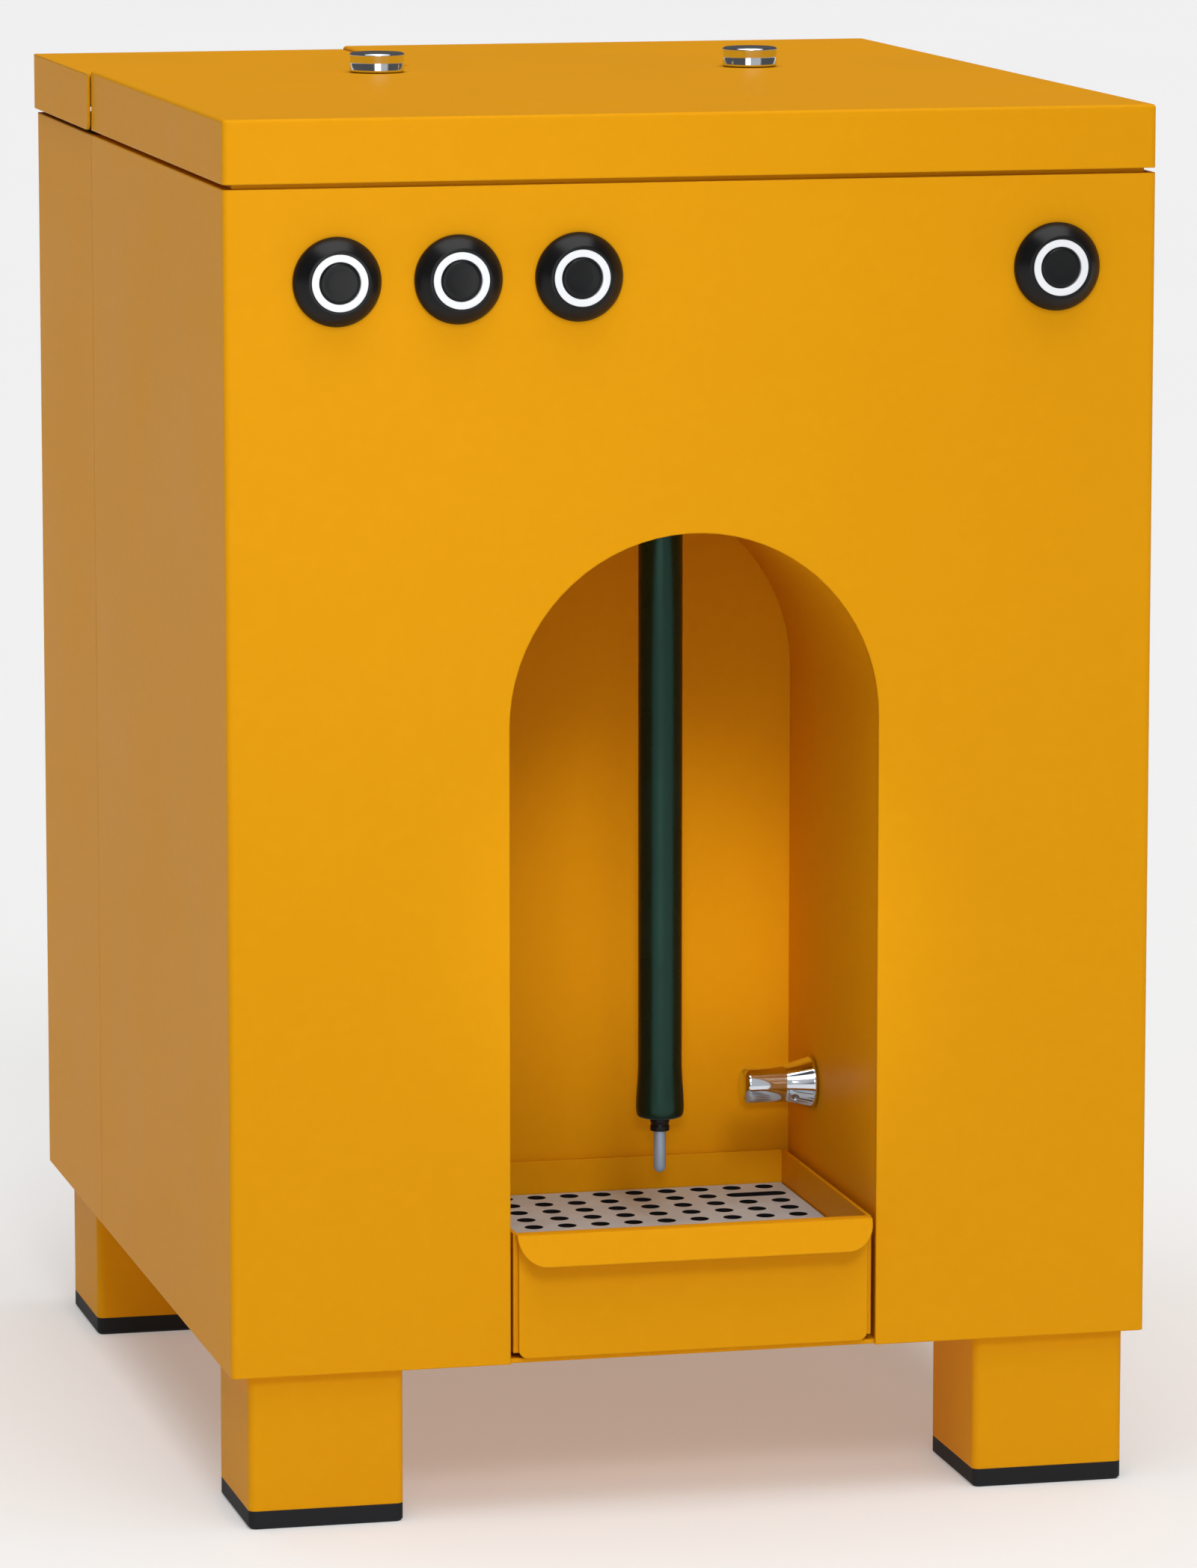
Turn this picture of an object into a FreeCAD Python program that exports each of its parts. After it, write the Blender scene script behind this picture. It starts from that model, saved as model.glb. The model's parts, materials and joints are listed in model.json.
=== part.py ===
"""Counter-top steam dispenser: a folded-sheet cabinet on four square legs, with an arched niche in the
front that holds a hanging steam wand, a pull-out drip tray, a valve knob, four push buttons, a main lid
held by two captive thumb screws, and a hinged lid over the water tank.

Millimetres, +Z up. The origin is on the resting plane under the middle of the cabinet.
The front faces -Y, and +X is on the right of a person who stands in front.
"""
import FreeCAD, Part
import math
import os

os.makedirs("parts", exist_ok=True)

# ---- driving dimensions ------------------------------------------------------------------------
# cabinet
body_width = 300.0
body_depth = 350.0
total_height = 446.0
sheet = 1.5
bend_radius = 2.0
tank_lid_depth = 112.0
seam_gap = 0.4
seam_overlap = 12.0
rim_shelf = 4.6
rim_inset = 3.2
fold_height = 14.0
face_clearance = 0.2

# lids
lid_skirt = 20.0
lid_gap = 1.6
lid_edge_radius = 1.2
lid_rest_gap = 0.3
tank_lid_width = 109.0
tank_lid_proud = 1.2
tank_lid_sheet = 1.0
tank_lid_drop = 1.2
tank_lid_corner = 3.0
lid_seam_gap = 0.5
hinge_pin_radius = 1.5
hinge_knuckle_radius = 3.0
hinge_play = 0.05
hinge_drop = 3.4
hinge_knuckle_length = 22.0
hinge_knuckle_gap = 0.4
hinge_leaf_thickness = 1.2
hinge_leaf_height = 34.0
hinge_end_inset = 14.0
hinge_tongue_height = 2.2
hinge_foot_gap = 2.0
rear_rim_margin = 2.0

# thumb screws of the main lid, and the rail that they hold to
thumb_setback = 30.0
thumb_left_x = -58.0
thumb_right_x = 71.0
thumb_radius = 9.3
thumb_height = 6.5
thumb_edge = 0.6
thumb_thread_radius = 3.0
thumb_thread_length = 19.0
thread_clearance = 0.08
through_clearance = 0.4
rail_width = 22.0
rail_fold = 12.0
rail_sheet = 2.0
rail_drop = 4.0
weld_nut_radius = 6.5
weld_nut_height = 6.0

# legs and feet
leg_size = 50.0
leg_height = 44.0
leg_wall = 2.0
leg_top_plate = 3.0
leg_corner_radius = 2.5
leg_side_inset = 6.0
leg_front_inset = 3.5
leg_rear_inset = 16.0
pad_height = 6.0
pad_plug_height = 8.0
pad_plug_clearance = 0.15
pad_edge = 0.8
leg_bolt_radius = 3.0
leg_bolt_offset = 11.0
bolt_head_radius = 5.5
bolt_head_height = 4.0
bolt_length = 14.0

# niche
arch_width = 120.0
arch_drop = 132.0
niche_depth = 112.0
niche_sheet = 1.2
niche_step = 0.5
niche_flange = 9.0

# drip tray and grille
tray_gap = 2.75
tray_bottom_gap = 1.6
tray_top = 92.0
tray_side_clearance = 1.7
tray_rear_clearance = 1.5
tray_sheet = 1.2
tray_front_sheet = 1.5
tray_corner_radius = 3.0
lip_height = 9.6
lip_reach = 7.5
lip_corner_radius = 9.0
lip_side_reach = 0.9
lip_root = 2.2
runner_width = 10.0
runner_height = 1.5
runner_offset = 40.0
runner_gap = 0.3
runner_setback = 8.0
grille_top = 81.0
grille_sheet = 1.5
grille_clearance = 0.5
grille_pitch = 11.1
grille_hole_radius = 3.1
grille_columns = 10
grille_rows = 9
grille_rear_margin = 5.4
finger_slot_row = 1
finger_slot_columns = (8, 9)
finger_slot_extra = 1.5
ledge_width = 4.0
ledge_height = 1.2

# steam wand
wand_depth = 46.0
sleeve_radius = 7.1
sleeve_flare_radius = 7.8
sleeve_flare_length = 14.0
sleeve_flare_land = 3.5
sleeve_edge = 0.8
sleeve_bottom = 118.5
sleeve_top_gap = 4.5
wand_tube_radius = 2.6
wand_tube_bore = 1.4
collar_radius = 3.15
collar_length = 4.6
nozzle_radius = 2.0
nozzle_end = 100.0
nozzle_bore = 0.6
ball_radius = 7.0
ball_height = 14.5
ball_play = 0.06
ball_pin_radius = 1.5
ball_pin_reach = 4.0
ball_pin_play = 0.05
socket_radius = 14.0
socket_saddle = 4.0
socket_mouth_radius = 8.6
socket_mouth_flare = 1.2
socket_lip_radius = 5.6
socket_lip_drop = 3.6
gland_height = 13.0
gland_nipple_radius = 5.0
gland_nipple_length = 10.0
steam_way_radius = 2.0

# valve knob on the right wall of the niche
valve_depth = 80.0
valve_height = 120.5
knob_length = 23.5
knob_radius = 6.15
knob_base_radius = 8.7
knob_cone_length = 9.5
knob_end_radius = 1.6
knob_rim = 0.8
knob_bore_past_cone = 6.0
knob_wall_gap = 0.8
knob_recess_radius = 6.6
knob_recess_depth = 4.2
knob_fit = 0.03
spindle_radius = 3.0
spindle_play = 0.05
spindle_reach = 18.0
valve_nut_radius = 5.6
valve_nut_height = 2.6
valve_thread_radius = 4.6
valve_block = 24.0
valve_block_length = 32.0
valve_barb_radius = 4.0
valve_barb_length = 14.0
grub_radius = 1.25
grub_length = 3.2
grub_setback = 6.8
grub_angle = 35.0

# push buttons
button_first_x = -114.5
button_pitch = 38.4
button_last_x = 117.2
button_drop = 50.5
button_hole_radius = 11.0
button_hole_clearance = 0.1
bezel_radius = 14.0
bezel_edge = 1.2
bezel_proud = 5.7
bezel_face_radius = 9.9
ring_outer_radius = 8.9
ring_inner_radius = 6.6
ring_thickness = 1.6
cap_clearance = 0.2
cap_thickness = 6.6
cap_edge = 0.4
cap_stem_radius = 3.0
cap_stem_length = 9.0
barrel_length = 22.0
barrel_bore_depth = 14.0
barrel_floor_hole = 2.0
button_nut_radius = 14.5
button_nut_height = 4.0
spring_radius = 5.0
spring_wire_radius = 0.45
spring_half_turns = 10
contact_size = 18.0
contact_length = 15.0

# water tank, pump, boiler and the rest of the inner parts
tank_wall = 2.5
tank_side_gap = 4.0
tank_front_gap = 10.0
tank_right_gap = 4.0
tank_rear_gap = 8.0
tank_top_gap = 2.4
tank_corner = 8.0
tank_foot_height = 6.0
tank_foot_width = 6.0
spout_radius = 4.0
spout_length = 10.0
water_line_height = 90.0
tank_spout_x = -120.0
pump_radius = 21.0
pump_left_x = -84.0
pump_length = 66.0
pump_to_boiler = 100.0
pump_core_radius = 11.0
pump_core_reach = 8.0
pump_foot_inset = 10.0
pump_foot_half = 16.8
boiler_x = 80.0
boiler_rear_inset = 75.0
boiler_radius = 48.0
boiler_bottom = 66.0
boiler_headroom = 78.0
boiler_dome = 12.0
boiler_port_radius = 6.0
boiler_port_length = 12.0
boiler_port_root = 6.0
stand_wall = 2.0
stand_inset = 4.0
stand_rise = 2.0
stand_flange = 5.0
stand_sheet = 1.5
pipe_radius = 4.0
pipe_wall = 1.0
pipe_bend_radius = 20.0
solenoid_size = 30.0
solenoid_height = 22.0
coil_radius = 18.0
coil_height = 34.0
board_width = 84.0
board_height = 120.0
board_thickness = 1.6
board_front_depth = 26.0
board_bottom = 150.0
standoff_radius = 3.0
standoff_length = 12.0
standoff_inset = 6.0
# parts fitted to the board: proud, from the front edge, width, from the bottom edge, height
board_fittings = (
    (25.2, 14.0, 32.0, 16.0, 34.0),
    (16.2, 54.0, 16.0, 18.0, 29.0),
    (16.2, 54.0, 16.0, 52.0, 29.0),
    (11.2, 14.0, 56.0, 96.0, 10.0),
)
inlet_x = 118.0
inlet_z = 92.0
inlet_width = 27.6
inlet_height = 20.0
inlet_depth = 18.0
inlet_flange_width = 50.0
inlet_flange_height = 24.0
inlet_flange_thickness = 2.4
inlet_recess = 15.0
inlet_wall = 2.0
inlet_blade_length = 11.0
inlet_blade_thickness = 2.0
inlet_blade_width = 4.0
inlet_blade_places = ((-7.0, -2.0), (0.0, 2.0), (7.0, -2.0))
inlet_flange_corner = 4.0
switch_z = 130.0
switch_width = 21.0
switch_height = 15.0
switch_frame_edge = 2.4
switch_depth = 16.0
switch_side_wall = 2.0
switch_end_wall = 1.5
switch_floor = 4.0
switch_rim = 1.6
rocker_clearance = 0.35
rocker_end_clearance = 0.95
rocker_tilt = 7.0
rocker_pivot_depth = 2.0
rocker_proud = 3.0
rocker_dip = 1.0
rocker_shoulder = 1.0
rocker_keel = 2.5
rocker_pin_radius = 1.2
rocker_pin_reach = 1.8
rocker_pin_play = 0.05
cutout_clearance = 0.3
vent_length = 56.0
vent_width = 4.0
vent_pitch = 11.0
vent_rows = 8
vent_columns = 2
vent_column_pitch = 76.0
vent_bottom = 210.0
vent_middle_x = 70.0
cover_screw_radius = 2.0
cover_screw_head_radius = 4.0
cover_screw_head_height = 2.4
cover_screw_length = 8.0
cover_screw_head_edge = 1.0
cover_screw_x = (-130.0, -66.0, 66.0, 130.0)

# ---- places worked out from the dimensions -----------------------------------------------------
half_width = body_width / 2
front = -body_depth / 2
rear = body_depth / 2
floor_z = pad_height + leg_height
floor_top = floor_z + sheet
lid_top = total_height
lid_bottom = lid_top - lid_skirt
body_top = lid_bottom - lid_gap
lid_under = lid_top - sheet
seam_y = rear - tank_lid_depth
arch_radius = arch_width / 2
arch_crown = total_height - arch_drop
niche_half = arch_radius + niche_step
niche_back_y = front + niche_depth
wand_y = front + wand_depth
valve_y = front + valve_depth
sleeve_top = arch_crown - sleeve_top_gap
ball_z = sleeve_top + ball_height
tank_lid_right = -half_width + tank_lid_width
tank_lid_front = seam_y + seam_gap
hinge_y = rear + hinge_knuckle_radius + face_clearance
hinge_z = lid_top - tank_lid_drop - hinge_drop
thumb_y = seam_y - thumb_setback
rail_top = lid_under - rail_drop
thumb_x = (thumb_left_x, thumb_right_x)
button_height = total_height - button_drop
button_x = (button_first_x, button_first_x + button_pitch, button_first_x + 2 * button_pitch, button_last_x)
niche_outer = niche_half + niche_sheet
tray_half = niche_half - tray_side_clearance
tray_rear = niche_back_y - tray_rear_clearance
tray_floor = floor_top + runner_height + runner_gap
tray_front_half = arch_radius - tray_gap
grille_half = tray_half - tray_sheet - grille_clearance
X = FreeCAD.Vector(1, 0, 0)
Y = FreeCAD.Vector(0, 1, 0)
Z = FreeCAD.Vector(0, 0, 1)


# ---- helpers -----------------------------------------------------------------------------------
def at(x, y, z):
    """A point."""
    return FreeCAD.Vector(x, y, z)


def block(x0, x1, y0, y1, z0, z1):
    """A box between two corners."""
    return Part.makeBox(x1 - x0, y1 - y0, z1 - z0, at(x0, y0, z0))


def rod(radius, length, start, axis):
    """A solid cylinder."""
    return Part.makeCylinder(radius, length, start, axis)


def tube(outer, inner, length, start, axis):
    """A hollow cylinder, open at both ends."""
    return rod(outer, length, start, axis).cut(rod(inner, length, start, axis))


def upright_edges(shape, test):
    """The straight edges along Z whose middle passes the test."""
    found = []
    for edge in shape.Edges:
        if not isinstance(edge.Curve, Part.Line):
            continue
        if abs(edge.tangentAt(edge.FirstParameter).z) > 0.999 and test(edge.CenterOfMass):
            found.append(edge)
    return found


def rounded_block(x0, x1, y0, y1, z0, z1, radius):
    """A box with its four upright edges rounded."""
    shape = block(x0, x1, y0, y1, z0, z1)
    return shape.makeFillet(radius, upright_edges(shape, lambda c: True))


def arch(half, crown, z0, y0, y1):
    """A prism along Y with straight sides and a half-round top."""
    base = crown - half
    outline = Part.Wire([
        Part.LineSegment(at(-half, y0, z0), at(half, y0, z0)).toShape(),
        Part.LineSegment(at(half, y0, z0), at(half, y0, base)).toShape(),
        Part.Arc(at(half, y0, base), at(0, y0, crown), at(-half, y0, base)).toShape(),
        Part.LineSegment(at(-half, y0, base), at(-half, y0, z0)).toShape(),
    ])
    return Part.Face(outline).extrude(at(0, y1 - y0, 0))


def polygon(points):
    """A face from corner points."""
    return Part.Face(Part.makePolygon(points + points[:1]))


def turned(profile, centre, axis):
    """A solid of revolution. The profile holds (distance along the axis, radius) corners."""
    side = Y if abs(axis.dot(X)) > 0.5 or abs(axis.dot(Z)) > 0.5 else Z
    corners = [centre + axis * along + side * radius for along, radius in profile]
    return polygon(corners).revolve(centre, axis, 360)


def u_wall(inset, wall, y_open, y_closed, z0, z1, radius):
    """Three upright walls seen from above as a U, closed at y_closed, inset from the cabinet's outside."""
    inward = 1 if y_closed < y_open else -1
    half = half_width - inset
    near = y_closed + inward * inset
    outer = block(-half, half, min(y_open, near), max(y_open, near), z0, z1)
    if radius > 0:
        outer = outer.makeFillet(radius, upright_edges(outer, lambda c: abs(c.y - near) < 1e-3))
    half -= wall
    near += inward * wall
    past = y_open + inward
    inner = block(-half, half, min(past, near), max(past, near), z0 - 1, z1 + 1)
    return outer.cut(inner)


def pipe(points, bend, outer, inner):
    """A tube along straight runs joined by tangent arcs of one radius."""
    edges = []
    start = points[0]
    for before, corner, after in zip(points, points[1:], points[2:]):
        into = (corner - before).normalize()
        away = (after - corner).normalize()
        turn = math.acos(into.dot(away))
        setback = bend * math.tan(turn / 2)
        first = corner - into * setback
        last = corner + away * setback
        bisector = (away - into).normalize()
        centre = corner + bisector * (bend / math.cos(turn / 2))
        edges.append(Part.LineSegment(start, first).toShape())
        edges.append(Part.Arc(first, centre - bisector * bend, last).toShape())
        start = last
    edges.append(Part.LineSegment(start, points[-1]).toShape())
    path = Part.Wire(edges)
    tangent = (points[1] - points[0]).normalize()

    def swept(radius):
        ring = Part.Wire([Part.makeCircle(radius, points[0], tangent)])
        return path.makePipeShell([ring], True, False)

    return swept(outer).cut(swept(inner))


def save(node, *solids):
    """Writes one node: one solid, or a group of separate solids."""
    shape = solids[0] if len(solids) == 1 else Part.makeCompound(list(solids))
    shape.exportStep("parts/" + node + ".step")


# ---- cabinet -----------------------------------------------------------------------------------
def leg_corner(side, end):
    """The low corner of one leg: side is -1 left or 1 right, end is -1 front or 1 rear."""
    x0 = -half_width + leg_side_inset if side < 0 else half_width - leg_side_inset - leg_size
    y0 = front + leg_front_inset if end < 0 else rear - leg_rear_inset - leg_size
    return x0, y0


def leg_bolt_places(side, end):
    """The centres of one leg's two bolts."""
    x0, y0 = leg_corner(side, end)
    middle_x = x0 + leg_size / 2
    middle_y = y0 + leg_size / 2
    return [(middle_x - leg_bolt_offset, middle_y - leg_bolt_offset),
            (middle_x + leg_bolt_offset, middle_y + leg_bolt_offset)]


leg_names = {(-1, -1): "front_left", (1, -1): "front_right", (-1, 1): "rear_left", (1, 1): "rear_right"}


def make_front_shell():
    """Front panel and the front part of both sides, with the arched opening and a stepped top rim."""
    shell = u_wall(0, sheet, seam_y, front, floor_z, body_top, bend_radius)
    shelf = u_wall(sheet / 2, rim_shelf, seam_y, front, body_top - sheet, body_top, 0)
    upstand = u_wall(rim_inset, sheet, seam_y, front, body_top - sheet, lid_under - lid_rest_gap, 0)
    upstand = upstand.cut(block(-half_width, tank_lid_right, seam_y - sheet - lid_seam_gap, seam_y + 1,
                                body_top, lid_under))
    shell = shell.fuse([shelf, upstand])
    shell = shell.cut(arch(arch_radius, arch_crown, floor_z - 1, front - 1, front + sheet + 1))
    for x in button_x:
        shell = shell.cut(rod(button_hole_radius, sheet + 2, at(x, front - 1, button_height), Y))
    return shell.removeSplitter()


def make_rear_cover():
    """Back panel and the rear part of both sides, with joint strips, vents and the mains cut-outs."""
    near = seam_y + seam_gap
    cover = u_wall(0, sheet, near, rear, floor_z, body_top, bend_radius)
    strip_inset = sheet + face_clearance
    low = floor_z + fold_height + 2
    high = body_top - sheet - 1
    for side in (-1, 1):
        outer = side * (half_width - strip_inset)
        inner = outer - side * sheet
        strip = block(min(outer, inner), max(outer, inner), near - seam_overlap, near + seam_overlap, low, high)
        bridge_outer = side * (half_width - sheet / 2)
        bridge = block(min(bridge_outer, inner), max(bridge_outer, inner), near, near + seam_overlap, low, high)
        cover = cover.fuse([strip, bridge])
    left = tank_lid_right + rear_rim_margin
    shelf = block(left, half_width - sheet / 2, rear - sheet - rim_shelf, rear - sheet / 2,
                  body_top - sheet, body_top)
    right = half_width - rim_inset
    back = rear - rim_inset
    upstand_top = lid_under - lid_rest_gap
    upstand = block(left + rear_rim_margin, right, back - sheet, back, body_top - sheet, upstand_top)
    side_shelf = block(half_width - sheet - rim_shelf, half_width - sheet / 2, near, rear - sheet / 2,
                       body_top - sheet, body_top)
    side_upstand = block(right - sheet, right, near, back, body_top - sheet, upstand_top)
    cover = cover.fuse([shelf, upstand, side_shelf, side_upstand])
    for column in range(vent_columns):
        x = vent_middle_x + (column - (vent_columns - 1) / 2) * vent_column_pitch
        for row in range(vent_rows):
            z = vent_bottom + row * vent_pitch
            half = vent_length / 2 - vent_width / 2
            slot = block(x - half, x + half, rear - sheet - 1, rear + 1, z - vent_width / 2, z + vent_width / 2)
            ends = [rod(vent_width / 2, sheet + 2, at(x + s * half, rear - sheet - 1, z), Y) for s in (-1, 1)]
            cover = cover.cut(slot.fuse(ends))
    for width, height, z in ((inlet_width, inlet_height, inlet_z), (switch_width, switch_height, switch_z)):
        half = width / 2 + cutout_clearance
        tall = height / 2 + cutout_clearance
        cover = cover.cut(block(inlet_x - half, inlet_x + half, rear - 3, rear + 1, z - tall, z + tall))
    hole = cover_screw_radius + through_clearance / 2
    for x in cover_screw_x:
        cover = cover.cut(rod(hole, sheet + 2, at(x, rear - sheet - 1, floor_z + fold_height / 2), Y))
    return cover.removeSplitter()


def make_base_plate():
    """Floor pan with folds at the sides and rear, and two short folds beside the tray."""
    half = half_width - sheet - face_clearance
    near = front + sheet + face_clearance
    far = rear - sheet - face_clearance
    top = floor_z + fold_height
    beside = niche_outer + niche_flange + 1
    pan = block(-half, half, near, far, floor_z, floor_top)
    folds = [
        block(-half, -half + sheet, near, far, floor_z, top),
        block(half - sheet, half, near, far, floor_z, top),
        block(-half, half, far - sheet, far, floor_z, top),
        block(-half, -beside, near, near + sheet, floor_z, top),
        block(beside, half, near, near + sheet, floor_z, top),
    ]
    pan = pan.fuse(folds)
    for side, end in leg_names:
        for x, y in leg_bolt_places(side, end):
            pan = pan.cut(rod(leg_bolt_radius + through_clearance / 2, sheet + 2, at(x, y, floor_z - 1), Z))
    for x in cover_screw_x:
        hole = cover_screw_radius + thread_clearance
        pan = pan.cut(rod(hole, sheet + 2, at(x, far - sheet - 1, floor_z + fold_height / 2), Y))
    return pan.removeSplitter()


def make_leg(side, end):
    """A square tube with a plate welded in its top."""
    x0, y0 = leg_corner(side, end)
    x1 = x0 + leg_size
    y1 = y0 + leg_size
    leg = rounded_block(x0, x1, y0, y1, pad_height, floor_z, leg_corner_radius)
    plate_low = floor_z - leg_top_plate
    hollow = block(x0 + leg_wall, x1 - leg_wall, y0 + leg_wall, y1 - leg_wall, pad_height - 1, plate_low)
    leg = leg.cut(hollow)
    for x, y in leg_bolt_places(side, end):
        leg = leg.cut(rod(leg_bolt_radius + thread_clearance, leg_top_plate + 2, at(x, y, plate_low - 1), Z))
    return leg


def make_foot_pad(side, end):
    """A rubber pad with a plug that fits the leg."""
    x0, y0 = leg_corner(side, end)
    pad = rounded_block(x0, x0 + leg_size, y0, y0 + leg_size, 0, pad_height, leg_corner_radius)
    foot_edges = [e for e in pad.Edges if e.BoundBox.ZMax < 1e-3]
    pad = pad.makeChamfer(pad_edge, foot_edges)
    inset = leg_wall + pad_plug_clearance
    plug = block(x0 + inset, x0 + leg_size - inset, y0 + inset, y0 + leg_size - inset,
                 pad_height - 1, pad_height + pad_plug_height)
    return pad.fuse(plug).removeSplitter()


def make_leg_bolts():
    """Two hexagon-head bolts for each leg."""
    bolts = []
    for side, end in leg_names:
        for x, y in leg_bolt_places(side, end):
            head = hexagon(bolt_head_radius, bolt_head_height, at(x, y, floor_top))
            shank = rod(leg_bolt_radius, bolt_length, at(x, y, floor_top - bolt_length), Z)
            bolts.append(head.fuse(shank).removeSplitter())
    return bolts


def hexagon(radius, height, centre):
    """A six-sided prism along Z."""
    corners = []
    for k in range(6):
        angle = math.radians(60 * k)
        corners.append(centre + at(radius * math.cos(angle), radius * math.sin(angle), 0))
    return polygon(corners).extrude(at(0, 0, height))


# ---- lids --------------------------------------------------------------------------------------
def lid_outline(inset, z):
    """The L-shaped face of the main lid: the whole top less the tank lid's corner."""
    left = -half_width + inset
    right = half_width - inset
    near = front + inset
    far = rear - inset
    notch_x = tank_lid_right + lid_seam_gap + inset
    notch_y = seam_y - inset
    return polygon([at(left, near, z), at(right, near, z), at(right, far, z), at(notch_x, far, z),
                    at(notch_x, notch_y, z), at(left, notch_y, z)])


def make_main_lid():
    """A shallow sheet cover with turned-down edges all round."""
    lid = lid_outline(0, lid_bottom).extrude(at(0, 0, lid_skirt))
    corners = upright_edges(lid, lambda c: abs(c.x) > half_width - 1 and abs(c.y - seam_y) > 1)
    lid = lid.makeFillet(bend_radius, corners)
    top_edges = [e for e in lid.Edges if e.BoundBox.ZMin > lid_top - 1e-3]
    lid = lid.makeFillet(lid_edge_radius, top_edges)
    lid = lid.cut(lid_outline(sheet, lid_bottom - 1).extrude(at(0, 0, lid_skirt + 1 - sheet)))
    for x in thumb_x:
        hole = thumb_thread_radius + through_clearance / 2
        lid = lid.cut(rod(hole, sheet + 2, at(x, thumb_y, lid_under - 1), Z))
    return lid


def hinge_knuckle_starts():
    """The left end of each of the three knuckles, from left to right."""
    left = -half_width + hinge_end_inset
    right = tank_lid_right - hinge_end_inset - hinge_knuckle_length
    return left, (left + right) / 2, right


def make_tank_lid():
    """A separate lid over the water tank, with two skirts and two hinge knuckles."""
    top = lid_top - tank_lid_drop
    left = -half_width - tank_lid_proud
    lid = block(left, tank_lid_right, tank_lid_front, rear, lid_bottom, top)
    lid = lid.makeFillet(bend_radius, upright_edges(lid, lambda c: c.x < left + 1 and c.y > rear - 1))
    inner = block(left + tank_lid_sheet, tank_lid_right + 1, tank_lid_front - 1, rear - tank_lid_sheet,
                  lid_bottom - 1, top - tank_lid_sheet)
    lid = lid.cut(inner)
    square = block(left - 1, left + tank_lid_sheet + 1, tank_lid_front - 1, tank_lid_front + tank_lid_corner,
                   lid_bottom - 1, lid_bottom + tank_lid_corner)
    round_part = rod(tank_lid_corner, tank_lid_sheet + 2,
                     at(left - 1, tank_lid_front + tank_lid_corner, lid_bottom + tank_lid_corner), X)
    lid = lid.cut(square.cut(round_part))
    first, _, last = hinge_knuckle_starts()
    for x in (first, last):
        barrel = rod(hinge_knuckle_radius, hinge_knuckle_length, at(x, hinge_y, hinge_z), X)
        tongue = block(x, x + hinge_knuckle_length, rear - tank_lid_sheet / 2, hinge_y,
                       hinge_z + hinge_knuckle_radius - hinge_tongue_height, hinge_z + hinge_knuckle_radius)
        lid = lid.fuse(barrel.fuse(tongue))
    bore = rod(hinge_pin_radius + hinge_play, tank_lid_width, at(first - 1, hinge_y, hinge_z), X)
    return lid.cut(bore).removeSplitter()


def make_hinge_leaf():
    """The fixed leaf of the tank lid's hinge, which is screwed to the back panel."""
    first, middle, last = hinge_knuckle_starts()
    x0 = first + hinge_knuckle_length + hinge_knuckle_gap
    x1 = last - hinge_knuckle_gap
    plate = block(x0, x1, rear + face_clearance, rear + face_clearance + hinge_leaf_thickness,
                  hinge_z - hinge_leaf_height, hinge_z)
    foot = block(x0, x1, rear, rear + face_clearance + hinge_leaf_thickness, hinge_z - hinge_leaf_height,
                 body_top - hinge_foot_gap)
    barrel = rod(hinge_knuckle_radius, x1 - x0, at(x0, hinge_y, hinge_z), X)
    leaf = plate.fuse([foot, barrel])
    return leaf.cut(rod(hinge_pin_radius, x1 - x0 + 2, at(x0 - 1, hinge_y, hinge_z), X)).removeSplitter()


def make_hinge_pin():
    """The pin through all three knuckles."""
    first, _, last = hinge_knuckle_starts()
    return rod(hinge_pin_radius, last + hinge_knuckle_length - first, at(first, hinge_y, hinge_z), X)


def make_lid_rail():
    """A cross rail under the main lid, with a weld nut under each thumb screw."""
    half = half_width - rim_inset - sheet - face_clearance
    near = thumb_y - rail_width / 2
    far = thumb_y + rail_width / 2
    low = rail_top - rail_fold
    top = block(-half, half, near, far, rail_top - rail_sheet, rail_top)
    folds = [
        block(-half, half, near, near + rail_sheet, low, rail_top),
        block(-half, half, far - rail_sheet, far, low, rail_top),
    ]
    rail = top.fuse(folds)
    for x in thumb_x:
        nut_z = rail_top - rail_sheet - weld_nut_height
        rail = rail.fuse(rod(weld_nut_radius, weld_nut_height, at(x, thumb_y, nut_z), Z))
    for x in thumb_x:
        bore = rod(thumb_thread_radius + thread_clearance, rail_fold + 4, at(x, thumb_y, low - 2), Z)
        rail = rail.cut(bore)
    return rail.removeSplitter()


def make_thumb_screw(x):
    """A low polished knob on a threaded shank."""
    profile = [
        (0, 0), (0, thumb_radius - thumb_edge), (thumb_edge, thumb_radius),
        (thumb_height - thumb_edge, thumb_radius), (thumb_height, thumb_radius - thumb_edge), (thumb_height, 0),
    ]
    knob = turned(profile, at(x, thumb_y, lid_top + face_clearance), Z)
    top = lid_top + face_clearance + thumb_edge
    shank = rod(thumb_thread_radius, thumb_thread_length, at(x, thumb_y, top - thumb_thread_length), Z)
    return knob.fuse(shank).removeSplitter()


# ---- niche -------------------------------------------------------------------------------------
def make_niche_shroud():
    """The arched sheet tunnel behind the opening, with a flange on the back of the front panel."""
    near = front + sheet
    outer = arch(niche_outer, arch_crown + niche_step + niche_sheet, floor_top, near, niche_back_y)
    flange_crown = arch_crown + niche_step + niche_flange
    flange = arch(niche_half + niche_flange, flange_crown, floor_top, near, near + niche_sheet)
    shroud = outer.fuse(flange)
    shroud = shroud.cut(arch(niche_half, arch_crown + niche_step, floor_top - 1, near - 1, niche_back_y + 1))
    shroud = shroud.cut(rod(socket_mouth_radius, 20, at(0, wand_y, arch_crown - 10), Z))
    spindle_hole = valve_thread_radius + through_clearance / 2
    shroud = shroud.cut(rod(spindle_hole, 6, at(niche_half - 2, valve_y, valve_height), X))
    return shroud.removeSplitter()


def make_niche_back():
    """The flat sheet that closes the back of the tunnel."""
    crown = arch_crown + niche_step + niche_sheet
    return arch(niche_outer, crown, floor_top, niche_back_y, niche_back_y + niche_sheet)


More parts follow.
